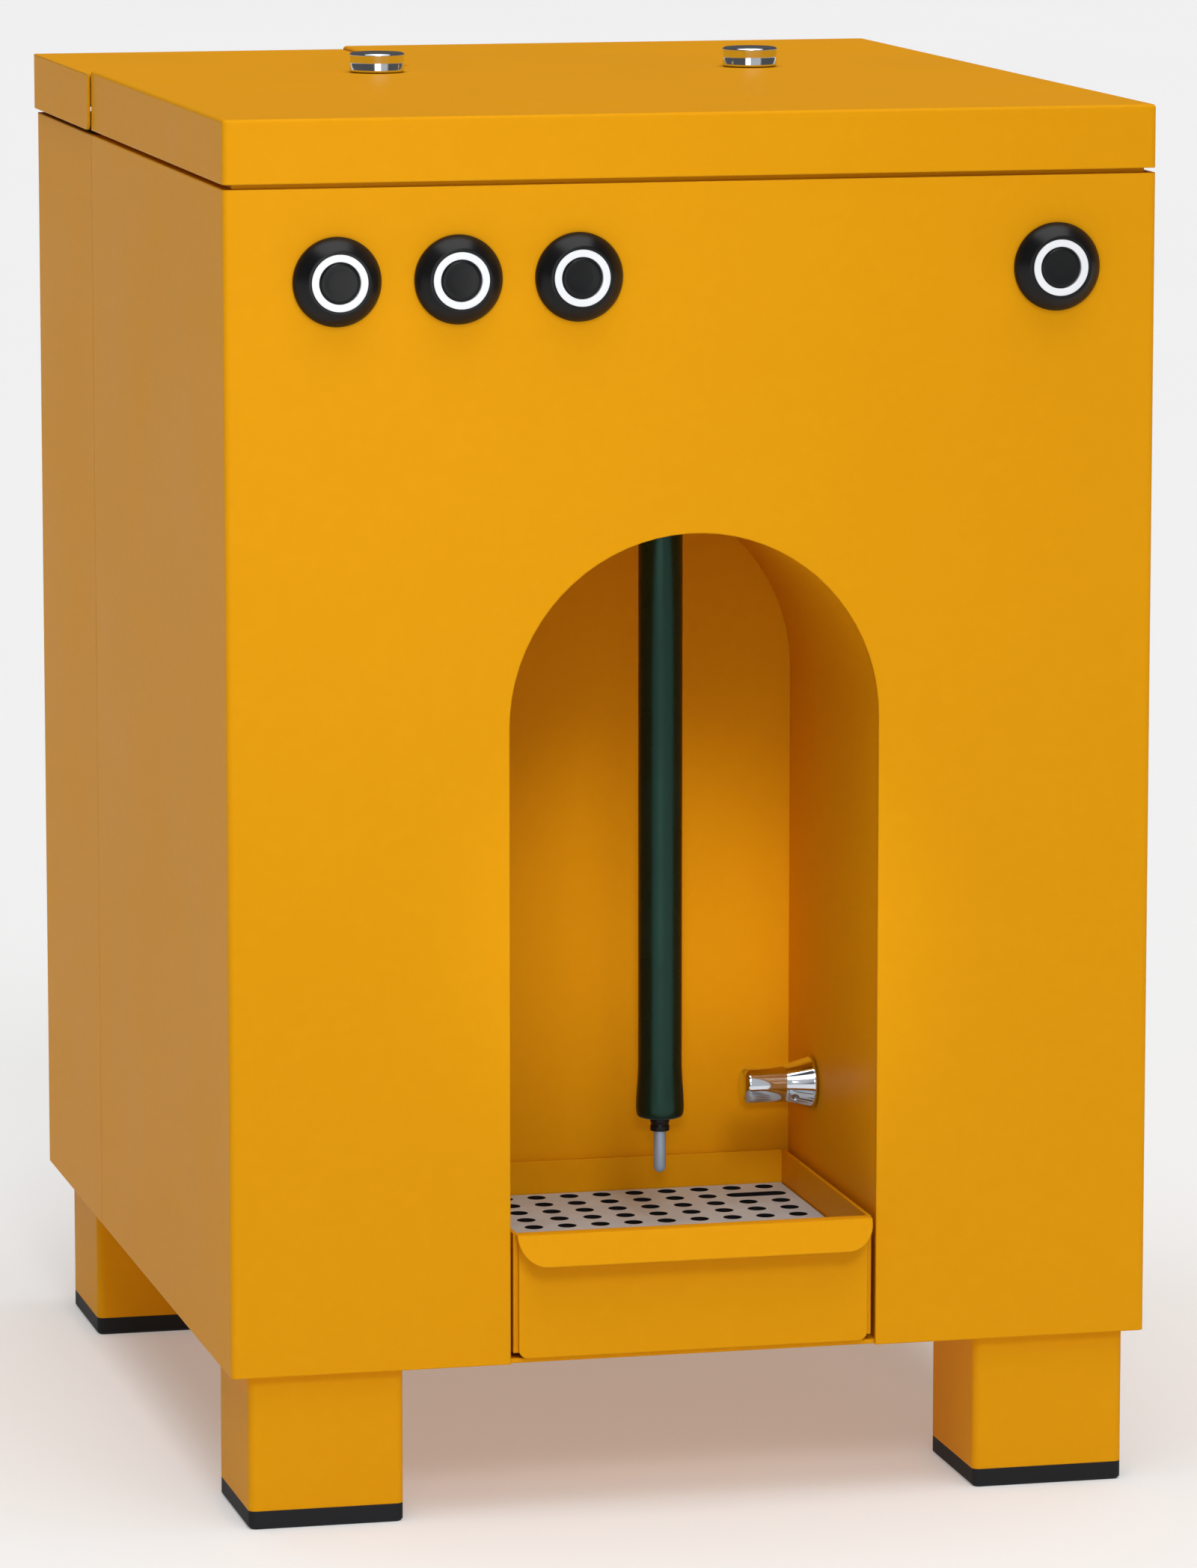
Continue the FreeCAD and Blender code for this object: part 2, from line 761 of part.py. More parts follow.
# ---- drip tray ---------------------------------------------------------------------------------
def make_drip_tray():
    """An open sheet pan with a ledge along each side for the grille."""
    near = front + tray_front_sheet
    pan = block(-tray_half, tray_half, near, tray_rear, tray_floor, tray_top)
    inner_half = tray_half - tray_sheet
    inner = block(-inner_half, inner_half, near + tray_sheet, tray_rear - tray_sheet,
                  tray_floor + tray_sheet, tray_top + 1)
    pan = pan.cut(inner)
    ledge_top = grille_top - grille_sheet
    for side in (-1, 1):
        outer = side * (inner_half + tray_sheet / 2)
        inside = side * (inner_half - ledge_width)
        ledge = block(min(outer, inside), max(outer, inside), near + tray_sheet / 2, tray_rear - tray_sheet / 2,
                      ledge_top - ledge_height, ledge_top)
        pan = pan.fuse(ledge)
    return pan.removeSplitter()


def outer_edges(shape, z, half):
    """The edges along Y at height z on the left and right sides."""
    return [e for e in shape.Edges
            if abs(e.CenterOfMass.z - z) < 1e-3 and abs(e.CenterOfMass.x) > half - 1e-3]


def make_tray_front():
    """The tray's front panel, whose top edge is folded out and down as a finger lip."""
    low = floor_z + tray_bottom_gap
    half = tray_front_half
    panel = block(-half, half, front, front + tray_front_sheet, low, tray_top)
    bottom = outer_edges(panel, low, half)
    panel = panel.makeFillet(tray_corner_radius, bottom)
    lip_half = half + lip_side_reach
    lip_low = tray_top - lip_height
    section = polygon([
        at(-lip_half, front + tray_front_sheet, tray_top),
        at(-lip_half, front - lip_root, tray_top),
        at(-lip_half, front - lip_reach, lip_low),
        at(-lip_half, front - lip_reach + sheet, lip_low),
        at(-lip_half, front - lip_root + sheet / 2, tray_top - sheet),
        at(-lip_half, front + tray_front_sheet, tray_top - sheet),
    ])
    lip = section.extrude(at(2 * lip_half, 0, 0))
    near = front - lip_reach - 1
    far = front + tray_front_sheet
    frame = block(-lip_half - 1, lip_half + 1, near, far, lip_low - 1, tray_top + 1)
    keep = block(-lip_half, lip_half, near, far, lip_low, tray_top + 1)
    keep = keep.makeFillet(lip_corner_radius, outer_edges(keep, lip_low, lip_half))
    lip = lip.cut(frame.cut(keep))
    return panel.fuse(lip).removeSplitter()


def make_grille():
    """A perforated plate with one long finger slot near its rear right corner."""
    near = front + tray_front_sheet + tray_sheet + grille_clearance
    far = tray_rear - tray_sheet - grille_clearance
    low = grille_top - grille_sheet
    plate = block(-grille_half, grille_half, near, far, low, grille_top)
    tools = []
    for row in range(grille_rows):
        y = far - grille_rear_margin - row * grille_pitch
        for column in range(grille_columns):
            if row == finger_slot_row and column in finger_slot_columns:
                continue
            x = (column - (grille_columns - 1) / 2) * grille_pitch
            tools.append(rod(grille_hole_radius, grille_sheet + 2, at(x, y, low - 1), Z))
    y = far - grille_rear_margin - finger_slot_row * grille_pitch
    x0, x1 = [(column - (grille_columns - 1) / 2) * grille_pitch for column in finger_slot_columns]
    x0 -= finger_slot_extra
    x1 += finger_slot_extra
    tools.append(block(x0, x1, y - grille_hole_radius, y + grille_hole_radius, low - 1, grille_top + 1))
    for x in (x0, x1):
        tools.append(rod(grille_hole_radius, grille_sheet + 2, at(x, y, low - 1), Z))
    return plate.cut(tools)


def make_runners():
    """Two low strips that the tray slides on."""
    strips = []
    for side in (-1, 1):
        x = side * runner_offset
        strips.append(block(x - runner_width / 2, x + runner_width / 2, front + runner_setback, tray_rear,
                            floor_top, floor_top + runner_height))
    return strips


# ---- steam wand --------------------------------------------------------------------------------
def ball_pin(play):
    """The cross pin that holds the wand's ball to one plane of swing, enlarged by a play all round."""
    half = ball_radius + ball_pin_reach + play
    return rod(ball_pin_radius + play, 2 * half, at(-half, wand_y, ball_z), X)


def make_wand_socket():
    """The lower half of the wand's bearing, shaped to sit on the crown of the niche."""
    low = arch_crown - socket_saddle
    body = rod(socket_radius, ball_z - low, at(0, wand_y, low), Z)
    crown = arch_crown + niche_step + niche_sheet
    body = body.cut(arch(niche_outer, crown, floor_top, wand_y - 30, wand_y + 30))
    body = body.cut(Part.makeSphere(ball_radius + ball_play, at(0, wand_y, ball_z)))
    mouth_top = ball_z - socket_lip_drop
    cone = Part.makeCone(socket_mouth_radius + socket_mouth_flare, socket_lip_radius, mouth_top - low,
                         at(0, wand_y, low), Z)
    return body.cut([cone, ball_pin(ball_pin_play)])


def make_gland_nut():
    """The upper half of the wand's bearing, with the nipple that takes the steam valve."""
    body = rod(socket_radius, gland_height, at(0, wand_y, ball_z), Z)
    body = body.fuse(rod(gland_nipple_radius, gland_nipple_length, at(0, wand_y, ball_z + gland_height), Z))
    body = body.cut([Part.makeSphere(ball_radius + ball_play, at(0, wand_y, ball_z)), ball_pin(ball_pin_play)])
    return body.cut(rod(steam_way_radius, gland_height + gland_nipple_length + 2, at(0, wand_y, ball_z), Z))


def make_wand_tube():
    """The steel steam tube inside the sleeve, with the drilled ball and its cross pin brazed to its top."""
    low = sleeve_bottom - collar_length
    ball = Part.makeSphere(ball_radius, at(0, wand_y, ball_z))
    stem = rod(wand_tube_radius, ball_z - low, at(0, wand_y, low), Z)
    way = rod(wand_tube_bore, ball_z + ball_radius + 2 - low, at(0, wand_y, low - 1), Z)
    return ball.fuse([stem, ball_pin(0)]).cut(way).removeSplitter()


def make_wand_sleeve():
    """The insulating sleeve, slightly wider at its lower end."""
    length = sleeve_top - sleeve_bottom
    flare = sleeve_flare_radius
    profile = [
        (0, wand_tube_radius), (0, flare - sleeve_edge), (sleeve_edge, flare), (sleeve_flare_land, flare),
        (sleeve_flare_length, sleeve_radius), (length - sleeve_edge, sleeve_radius),
        (length, sleeve_radius - sleeve_edge), (length, wand_tube_radius),
    ]
    return turned(profile, at(0, wand_y, sleeve_bottom), Z)


def make_wand_collar():
    """The small collar that holds the nozzle."""
    return tube(collar_radius, wand_tube_radius, collar_length, at(0, wand_y, sleeve_bottom - collar_length), Z)


def make_wand_nozzle():
    """The steel tip with its round end."""
    top = sleeve_bottom - collar_length
    body = rod(nozzle_radius, top - nozzle_end - nozzle_radius, at(0, wand_y, nozzle_end + nozzle_radius), Z)
    body = body.fuse(Part.makeSphere(nozzle_radius, at(0, wand_y, nozzle_end + nozzle_radius)))
    body = body.cut(rod(nozzle_bore, top - nozzle_end + 2, at(0, wand_y, nozzle_end - 1), Z))
    return body.removeSplitter()


# ---- valve -------------------------------------------------------------------------------------
knob_base_x = niche_half - knob_wall_gap
knob_bore_end = knob_cone_length + knob_bore_past_cone
valve_block_x = niche_outer


def grub_place():
    """A point on the knob's axis and the outward direction of its grub screw."""
    angle = math.radians(grub_angle)
    centre = at(knob_base_x - grub_setback, valve_y, valve_height)
    return centre, at(0, -math.cos(angle), -math.sin(angle))


def make_valve_knob():
    """A turned knob: a plain grip that flares to its base, hollow behind to cover the nut."""
    profile = [
        (0, knob_recess_radius), (0, knob_base_radius), (knob_rim, knob_base_radius),
        (knob_cone_length, knob_radius), (knob_length - knob_end_radius, knob_radius),
        (knob_length - 0.5 * knob_end_radius, knob_radius - 0.25 * knob_end_radius),
        (knob_length, knob_radius - knob_end_radius), (knob_length, 0),
        (knob_bore_end + knob_fit, 0), (knob_bore_end + knob_fit, spindle_radius + knob_fit),
        (knob_recess_depth, spindle_radius + knob_fit), (knob_recess_depth, knob_recess_radius),
    ]
    knob = turned(profile, at(knob_base_x, valve_y, valve_height), -X)
    centre, outward = grub_place()
    return knob.cut(rod(grub_radius, knob_base_radius + 2, centre, outward))


def make_grub_screw():
    """The set screw that holds the knob to its spindle."""
    centre, outward = grub_place()
    return rod(grub_radius, grub_length, centre + outward * spindle_radius, outward)


def make_valve_spindle():
    """The spindle that turns with the knob."""
    start = knob_base_x - knob_bore_end
    return rod(spindle_radius, niche_outer + spindle_reach - start, at(start, valve_y, valve_height), X)


def make_valve_body():
    """The brass valve block behind the niche wall, with a threaded neck and a hose barb."""
    half = valve_block / 2
    body = block(valve_block_x, valve_block_x + valve_block_length, valve_y - half, valve_y + half,
                 valve_height - half, valve_height + half)
    neck = rod(valve_thread_radius, niche_sheet + valve_nut_height + 1,
               at(niche_half - valve_nut_height, valve_y, valve_height), X)
    barb_start = at(valve_block_x + valve_block_length / 2, valve_y, valve_height + half)
    body = body.fuse([neck, rod(valve_barb_radius, valve_barb_length, barb_start, Z)])
    bore_x = niche_half - valve_nut_height - 1
    return body.cut(rod(spindle_radius + spindle_play, valve_block_x + spindle_reach + 1 - bore_x,
                        at(bore_x, valve_y, valve_height), X)).removeSplitter()


def make_valve_nut():
    """The thin nut that clamps the valve block to the niche wall."""
    start = at(niche_half - valve_nut_height, valve_y, valve_height)
    return tube(valve_nut_radius, valve_thread_radius, valve_nut_height, start, X)


# ---- push buttons ------------------------------------------------------------------------------
def make_bezel(x):
    """The button housing: a conical bezel outside and a threaded barrel inside."""
    barrel = button_hole_radius - button_hole_clearance
    profile = [
        (-bezel_proud, ring_outer_radius), (-bezel_proud, bezel_face_radius), (-bezel_edge, bezel_radius),
        (0, bezel_radius), (0, barrel), (barrel_length, barrel), (barrel_length, barrel_floor_hole),
        (barrel_bore_depth, barrel_floor_hole), (barrel_bore_depth, ring_inner_radius),
        (ring_thickness - bezel_proud, ring_inner_radius), (ring_thickness - bezel_proud, ring_outer_radius),
    ]
    return turned(profile, at(x, front, button_height), Y)


def make_ring(x):
    """The pale ring around the cap."""
    start = at(x, front - bezel_proud, button_height)
    return tube(ring_outer_radius, ring_inner_radius, ring_thickness, start, Y)


def make_cap(x):
    """The button cap and its stem."""
    radius = ring_inner_radius - cap_clearance
    end = cap_thickness + cap_stem_length
    profile = [
        (0, 0), (0, radius - cap_edge), (cap_edge, radius), (cap_thickness, radius),
        (cap_thickness, cap_stem_radius), (end, cap_stem_radius), (end, 0),
    ]
    return turned(profile, at(x, front - bezel_proud, button_height), Y)


def make_button_spring(x):
    """The return spring between the cap and the floor of the barrel, as half turns that each tilt a little."""
    start = front - bezel_proud + cap_thickness + spring_wire_radius
    length = front + barrel_bore_depth - spring_wire_radius - start
    rise = length / spring_half_turns
    halves = []
    for k in range(spring_half_turns):
        side = 1 if k % 2 == 0 else -1
        first = at(x + side * spring_radius, start + k * rise, button_height)
        last = at(x - side * spring_radius, start + (k + 1) * rise, button_height)
        centre = (first + last) * 0.5
        section = Part.Face(Part.Wire([Part.makeCircle(spring_wire_radius, first, Z)]))
        halves.append(section.revolve(centre, (first - centre).cross(Z * side), 180))
    return halves[0].fuse(halves[1:])


def make_button_nut(x):
    """The ring nut behind the panel."""
    start = at(x, front + sheet, button_height)
    return tube(button_nut_radius, button_hole_radius, button_nut_height, start, Y)


def make_contact_block(x):
    """The switch contact block at the end of the barrel."""
    half = contact_size / 2
    start = front + barrel_length
    return block(x - half, x + half, start, start + contact_length, button_height - half, button_height + half)


# ---- inner parts -------------------------------------------------------------------------------
tank_left = -half_width + sheet + tank_side_gap
tank_right = tank_lid_right - tank_right_gap
tank_near = seam_y + tank_front_gap
tank_far = rear - tank_rear_gap
tank_top = body_top - tank_top_gap
pump_right = pump_left_x + pump_length
valve_bottom = ball_z + gland_height + gland_nipple_length
steam_level = valve_bottom + solenoid_height / 2
boiler_y = rear - boiler_rear_inset
boiler_top = steam_level - boiler_headroom - boiler_port_length
boiler_height = boiler_top - boiler_dome - boiler_bottom
pump_y = boiler_y - pump_to_boiler


def make_water_tank():
    """An open-topped plastic tank on two ribs, with a spout near its foot."""
    low = floor_top + tank_foot_height
    tank = rounded_block(tank_left, tank_right, tank_near, tank_far, low, tank_top, tank_corner)
    inner = rounded_block(tank_left + tank_wall, tank_right - tank_wall, tank_near + tank_wall,
                          tank_far - tank_wall, low + tank_wall, tank_top + 1, tank_corner - tank_wall)
    for y in (tank_near + tank_corner, tank_far - tank_corner - tank_foot_width):
        rib = block(tank_left + tank_corner, tank_right - tank_corner, y, y + tank_foot_width, floor_top,
                    low + tank_wall / 2)
        tank = tank.fuse(rib)
    spout = rod(spout_radius, spout_length + tank_wall / 2,
                at(tank_spout_x, tank_near - spout_length, water_line_height), Y)
    tank = tank.cut(inner).fuse(spout)
    way = rod(spout_radius / 2, spout_length + tank_wall + 2,
              at(tank_spout_x, tank_near - spout_length - 1, water_line_height), Y)
    return tank.cut(way).removeSplitter()


def make_pump():
    """A vibration pump: coil housing, core tube and a foot."""
    centre = at(pump_left_x, pump_y, water_line_height)
    housing = rod(pump_radius, pump_length, centre, X)
    core_left = pump_left_x - pump_core_reach
    core = rod(pump_core_radius, pump_length + 2 * pump_core_reach, at(core_left, pump_y, water_line_height), X)
    foot = block(pump_left_x + pump_foot_inset, pump_right - pump_foot_inset, pump_y - pump_foot_half,
                 pump_y + pump_foot_half, floor_top, water_line_height)
    spouts = [
        rod(spout_radius, spout_length, at(core_left - spout_length, pump_y, water_line_height), X),
        rod(spout_radius, spout_length, at(pump_right + pump_core_reach, pump_y, water_line_height), X),
    ]
    return housing.fuse([core, foot] + spouts).removeSplitter()


def make_boiler():
    """A closed steel vessel with a water port in its side and a steam port on top."""
    centre = at(boiler_x, boiler_y, boiler_bottom)
    profile = [(0, 0), (0, boiler_radius - boiler_dome), (boiler_dome, boiler_radius),
               (boiler_height, boiler_radius), (boiler_height + boiler_dome, boiler_radius - 2 * boiler_dome),
               (boiler_height + boiler_dome, 0)]
    vessel = turned(profile, centre, Z)
    steam_port = rod(boiler_port_radius, boiler_port_length, at(boiler_x, boiler_y, boiler_top), Z)
    water_port = rod(boiler_port_radius, boiler_port_length + boiler_port_root,
                     at(boiler_x, boiler_y - boiler_radius - boiler_port_length, water_line_height), Y)
    return vessel.fuse([steam_port, water_port]).removeSplitter()


def make_boiler_stand():
    """A rolled sheet ring with a foot flange that carries the boiler."""
    outer = boiler_radius - stand_inset
    height = boiler_bottom + stand_rise - floor_top
    ring = rod(outer, height, at(boiler_x, boiler_y, floor_top), Z)
    flange = rod(outer + stand_flange, stand_sheet, at(boiler_x, boiler_y, floor_top), Z)
    hollow = rod(outer - stand_wall, height + 2, at(boiler_x, boiler_y, floor_top - 1), Z)
    stand = ring.fuse(flange).cut(hollow)
    return stand.cut(make_boiler())


def make_solenoid():
    """The steam valve above the wand: a brass block under a round coil."""
    half = solenoid_size / 2
    body = block(-half, half, wand_y - half, wand_y + half, valve_bottom, valve_bottom + solenoid_height)
    coil = rod(coil_radius, coil_height, at(0, wand_y, valve_bottom + solenoid_height), Z)
    return body.fuse(coil).removeSplitter()


def make_pipework():
    """Suction hose, feed pipe and steam pipe."""
    level = water_line_height
    inner = pipe_radius - pipe_wall
    suction = pipe([at(tank_spout_x, tank_near - spout_length, level), at(tank_spout_x, pump_y, level),
                    at(pump_left_x - pump_core_reach - spout_length, pump_y, level)],
                   pipe_bend_radius / 2, pipe_radius, inner)
    feed = pipe([at(pump_right + pump_core_reach + spout_length, pump_y, level), at(boiler_x, pump_y, level),
                 at(boiler_x, boiler_y - boiler_radius - boiler_port_length, level)],
                pipe_bend_radius, pipe_radius, inner)
    steam = pipe([at(boiler_x, boiler_y, boiler_top + boiler_port_length), at(boiler_x, boiler_y, steam_level),
                  at(boiler_x, wand_y, steam_level), at(solenoid_size / 2, wand_y, steam_level)],
                 pipe_bend_radius, pipe_radius, inner)
    return [suction, feed, steam]


board_x = -half_width + sheet + standoff_length
board_near = front + board_front_depth


def standoff_places():
    """The four corner fixings of the control board."""
    return [(y, z) for y in (board_near + standoff_inset, board_near + board_width - standoff_inset)
            for z in (board_bottom + standoff_inset, board_bottom + board_height - standoff_inset)]


def make_control_board():
    """A circuit board with a transformer, two relays and a terminal strip."""
    board = block(board_x, board_x + board_thickness, board_near, board_near + board_width,
                  board_bottom, board_bottom + board_height)
    face = board_x + board_thickness / 2
    fitted = []
    for proud, along, width, up, height in board_fittings:
        y = board_near + along
        z = board_bottom + up
        fitted.append(block(face, board_x + board_thickness + proud, y, y + width, z, z + height))
    return board.fuse(fitted).removeSplitter()


def make_standoffs():
    """The four board supports."""
    wall = -half_width + sheet
    return [rod(standoff_radius, standoff_length, at(wall, y, z), X) for y, z in standoff_places()]


def make_power_inlet():
    """An appliance inlet: a flanged box open to the rear, with three blades."""
    half = inlet_width / 2
    tall = inlet_height / 2
    mouth = rear + inlet_flange_thickness
    body = block(inlet_x - half, inlet_x + half, rear - inlet_depth, mouth, inlet_z - tall, inlet_z + tall)
    wide = inlet_flange_width / 2
    high = inlet_flange_height / 2
    flange = block(inlet_x - wide, inlet_x + wide, rear, mouth, inlet_z - high, inlet_z + high)
    corners = [e for e in flange.Edges if abs(e.tangentAt(e.FirstParameter).y) > 0.999]
    flange = flange.makeFillet(inlet_flange_corner, corners)
    recess = block(inlet_x - half + inlet_wall, inlet_x + half - inlet_wall, mouth - inlet_recess, mouth + 1,
                   inlet_z - tall + inlet_wall, inlet_z + tall - inlet_wall)
    inlet = body.fuse(flange).cut(recess)
    root = mouth - inlet_recess - 1
    thick = inlet_blade_thickness / 2
    wide = inlet_blade_width / 2
    for dx, dz in inlet_blade_places:
        x = inlet_x + dx
        z = inlet_z + dz
        inlet = inlet.fuse(block(x - thick, x + thick, root, root + 1 + inlet_blade_length, z - wide, z + wide))
    return inlet.removeSplitter()


def make_switch_frame():
    """The frame of the mains switch, open where the rocker sits, with a bearing hole in each side."""
    half = switch_width / 2
    tall = switch_height / 2
    edge = switch_frame_edge
    body = block(inlet_x - half, inlet_x + half, rear - switch_depth, rear + switch_rim / 2,
                 switch_z - tall, switch_z + tall)
    rim = block(inlet_x - half - edge, inlet_x + half + edge, rear, rear + switch_rim,
                switch_z - tall - edge, switch_z + tall + edge)
    hollow = block(inlet_x - half + switch_side_wall, inlet_x + half - switch_side_wall,
                   rear - switch_depth + switch_floor, rear + switch_rim + 1,
                   switch_z - tall + switch_end_wall, switch_z + tall - switch_end_wall)
    bearing = rod(rocker_pin_radius + rocker_pin_play, switch_width + 2,
                  at(inlet_x - half - 1, rear - rocker_pivot_depth, switch_z), X)
    return body.fuse(rim).cut(hollow.fuse(bearing)).removeSplitter()


def make_rocker():
    """The rocker: its outer face is two flats that meet in a shallow V, and a pin sticks out of each side."""
    half = switch_width / 2 - switch_side_wall - rocker_clearance
    tall = switch_height / 2 - switch_end_wall - rocker_end_clearance
    x0 = inlet_x - half
    outer = rear + rocker_proud
    pivot_y = rear - rocker_pivot_depth
    shoulder = pivot_y + rocker_shoulder
    section = polygon([
        at(x0, pivot_y - rocker_keel, switch_z - rocker_keel),
        at(x0, pivot_y - rocker_keel, switch_z + rocker_keel),
        at(x0, shoulder, switch_z + tall), at(x0, outer, switch_z + tall), at(x0, outer - rocker_dip, switch_z),
        at(x0, outer, switch_z - tall), at(x0, shoulder, switch_z - tall),
    ])
    rocker = section.extrude(at(2 * half, 0, 0))
    pin_half = half + rocker_pin_reach
    pins = rod(rocker_pin_radius, 2 * pin_half, at(inlet_x - pin_half, pivot_y, switch_z), X)
    rocker = rocker.fuse(pins)
    rocker.rotate(at(inlet_x, pivot_y, switch_z), X, -rocker_tilt)
    return rocker


def make_cover_screws():
    """Pan-head screws along the foot of the rear cover."""
    screws = []
    for x in cover_screw_x:
        z = floor_z + fold_height / 2
        head = rod(cover_screw_head_radius, cover_screw_head_height, at(x, rear, z), Y)
        outer = [e for e in head.Edges if e.BoundBox.YMin > rear + cover_screw_head_height - 1e-3]
        head = head.makeFillet(cover_screw_head_edge, outer)
        shank = rod(cover_screw_radius, cover_screw_length, at(x, rear - cover_screw_length, z), Y)
        screws.append(head.fuse(shank).removeSplitter())
    return screws


# ---- the assembly ------------------------------------------------------------------------------
save("front_shell", make_front_shell())
save("rear_cover", make_rear_cover())
save("base_plate", make_base_plate())
for (side, end), place in leg_names.items():
    save("leg_" + place, make_leg(side, end))
    save("foot_pad_" + place, make_foot_pad(side, end))
save("leg_bolts", *make_leg_bolts())
save("main_lid", make_main_lid())
save("tank_lid", make_tank_lid())
save("tank_hinge_leaf", make_hinge_leaf())
save("tank_hinge_pin", make_hinge_pin())
save("lid_rail", make_lid_rail())
save("thumb_screw_left", make_thumb_screw(thumb_left_x))
save("thumb_screw_right", make_thumb_screw(thumb_right_x))
save("niche_shroud", make_niche_shroud())
save("niche_back", make_niche_back())
save("drip_tray", make_drip_tray())
save("tray_front", make_tray_front())
save("drip_grille", make_grille())
save("tray_runners", *make_runners())
save("wand_socket", make_wand_socket())
save("wand_gland_nut", make_gland_nut())
save("wand_tube", make_wand_tube())
save("wand_sleeve", make_wand_sleeve())
save("wand_collar", make_wand_collar())
save("wand_nozzle", make_wand_nozzle())
save("valve_knob", make_valve_knob())
save("valve_grub_screw", make_grub_screw())
save("valve_spindle", make_valve_spindle())
save("valve_body", make_valve_body())
save("valve_nut", make_valve_nut())
for number, x in enumerate(button_x, 1):
    save("button_cap_" + str(number), make_cap(x))
    save("button_spring_" + str(number), make_button_spring(x))
save("button_bezels", *[make_bezel(x) for x in button_x])
save("button_rings", *[make_ring(x) for x in button_x])
save("button_nuts", *[make_button_nut(x) for x in button_x])
save("button_contact_blocks", *[make_contact_block(x) for x in button_x])
save("water_tank", make_water_tank())
save("pump", make_pump())
save("boiler", make_boiler())
save("boiler_stand", make_boiler_stand())
save("solenoid_valve", make_solenoid())
save("pipework", *make_pipework())
save("control_board", make_control_board())
save("board_standoffs", *make_standoffs())
save("power_inlet", make_power_inlet())
save("switch_frame", make_switch_frame())
save("switch_rocker", make_rocker())
save("cover_screws", *make_cover_screws())
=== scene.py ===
"""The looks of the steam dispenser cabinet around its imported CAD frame. Metres, +Z up, front facing -Y."""

import json
import math

import bmesh
import bpy
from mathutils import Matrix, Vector


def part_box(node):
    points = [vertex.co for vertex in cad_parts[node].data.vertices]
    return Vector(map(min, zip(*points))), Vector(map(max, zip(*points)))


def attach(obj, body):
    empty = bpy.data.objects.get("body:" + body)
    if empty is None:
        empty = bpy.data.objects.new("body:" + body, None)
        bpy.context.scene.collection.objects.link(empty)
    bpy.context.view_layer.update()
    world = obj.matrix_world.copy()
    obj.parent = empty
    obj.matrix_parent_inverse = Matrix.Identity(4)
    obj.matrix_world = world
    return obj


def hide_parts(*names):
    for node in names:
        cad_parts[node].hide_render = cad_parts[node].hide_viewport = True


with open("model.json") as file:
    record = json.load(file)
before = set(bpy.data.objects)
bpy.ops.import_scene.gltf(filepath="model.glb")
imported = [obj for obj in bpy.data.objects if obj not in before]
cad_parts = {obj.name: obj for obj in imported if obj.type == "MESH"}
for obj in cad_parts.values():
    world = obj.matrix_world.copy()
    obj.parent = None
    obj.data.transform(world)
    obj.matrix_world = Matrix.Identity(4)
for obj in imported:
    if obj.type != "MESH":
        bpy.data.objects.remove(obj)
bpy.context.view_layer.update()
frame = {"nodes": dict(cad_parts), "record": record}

MM = 0.001

# ---- colours, linear ----------------------------------------------------------------------------
AMBER = (0.790, 0.340, 0.0050)
AMBER_PALE = (0.830, 0.372, 0.0080)
AMBER_DEEP = (0.765, 0.325, 0.0040)
BLACK = (0.0040, 0.0044, 0.0052)
BLACK_PALE = (0.0080, 0.0085, 0.0098)
RUBBER = (0.0060, 0.0068, 0.0085)
RUBBER_PALE = (0.0130, 0.0140, 0.0170)
SLEEVE = (0.0010, 0.0045, 0.0030)
SLEEVE_PALE = (0.0022, 0.0095, 0.0065)
SLEEVE_SHINE = (0.45, 1.0, 0.78)
STEEL = (0.38, 0.48, 0.60)
STEEL_DEEP = (0.30, 0.38, 0.48)
GRILLE = (0.64, 0.78, 0.88)
GRILLE_DEEP = (0.53, 0.66, 0.76)
# near-black painted shade for the grille's hole walls
HOLE_WALL_PAINTED_SHADE = (0.010, 0.011, 0.012)
CHROME = (0.80, 0.84, 0.90)
CHROME_DEEP = (0.68, 0.72, 0.78)
ZINC = (0.50, 0.50, 0.50)
ZINC_DEEP = (0.34, 0.34, 0.36)
BRASS = (0.72, 0.50, 0.20)
BRASS_DEEP = (0.48, 0.31, 0.11)
COPPER = (0.74, 0.36, 0.22)
COPPER_DEEP = (0.46, 0.19, 0.11)
MILKY = (0.72, 0.76, 0.76)
MILKY_DEEP = (0.60, 0.66, 0.67)
BOARD = (0.010, 0.085, 0.035)
BOARD_TRACE = (0.030, 0.170, 0.070)
RING = (0.86, 0.88, 0.90)
RING_DEEP = (0.74, 0.76, 0.79)
FLOOR = (0.63, 0.63, 0.63)
FLOOR_PALE = (0.66, 0.66, 0.66)
FLOOR_GLOW = 0.25
ROOM = 0.09
WINDOW = 0.55
WINDOW_PLACE = (0.10, -0.92, 0.36)
WINDOW_REACH = (0.80, 0.88)     # the window's soft rim, as the cosine of the angle from its middle


# ---- material nodes -----------------------------------------------------------------------------
BEVEL_SAMPLES = 4
EDGE_COSINES = (0.97, 0.78)     # between the true and the rounded normal: an open face, a full edge
FLAT_SLOPES = (0.3, 0.6)        # the normal's height, from a face that stands to one that lies level


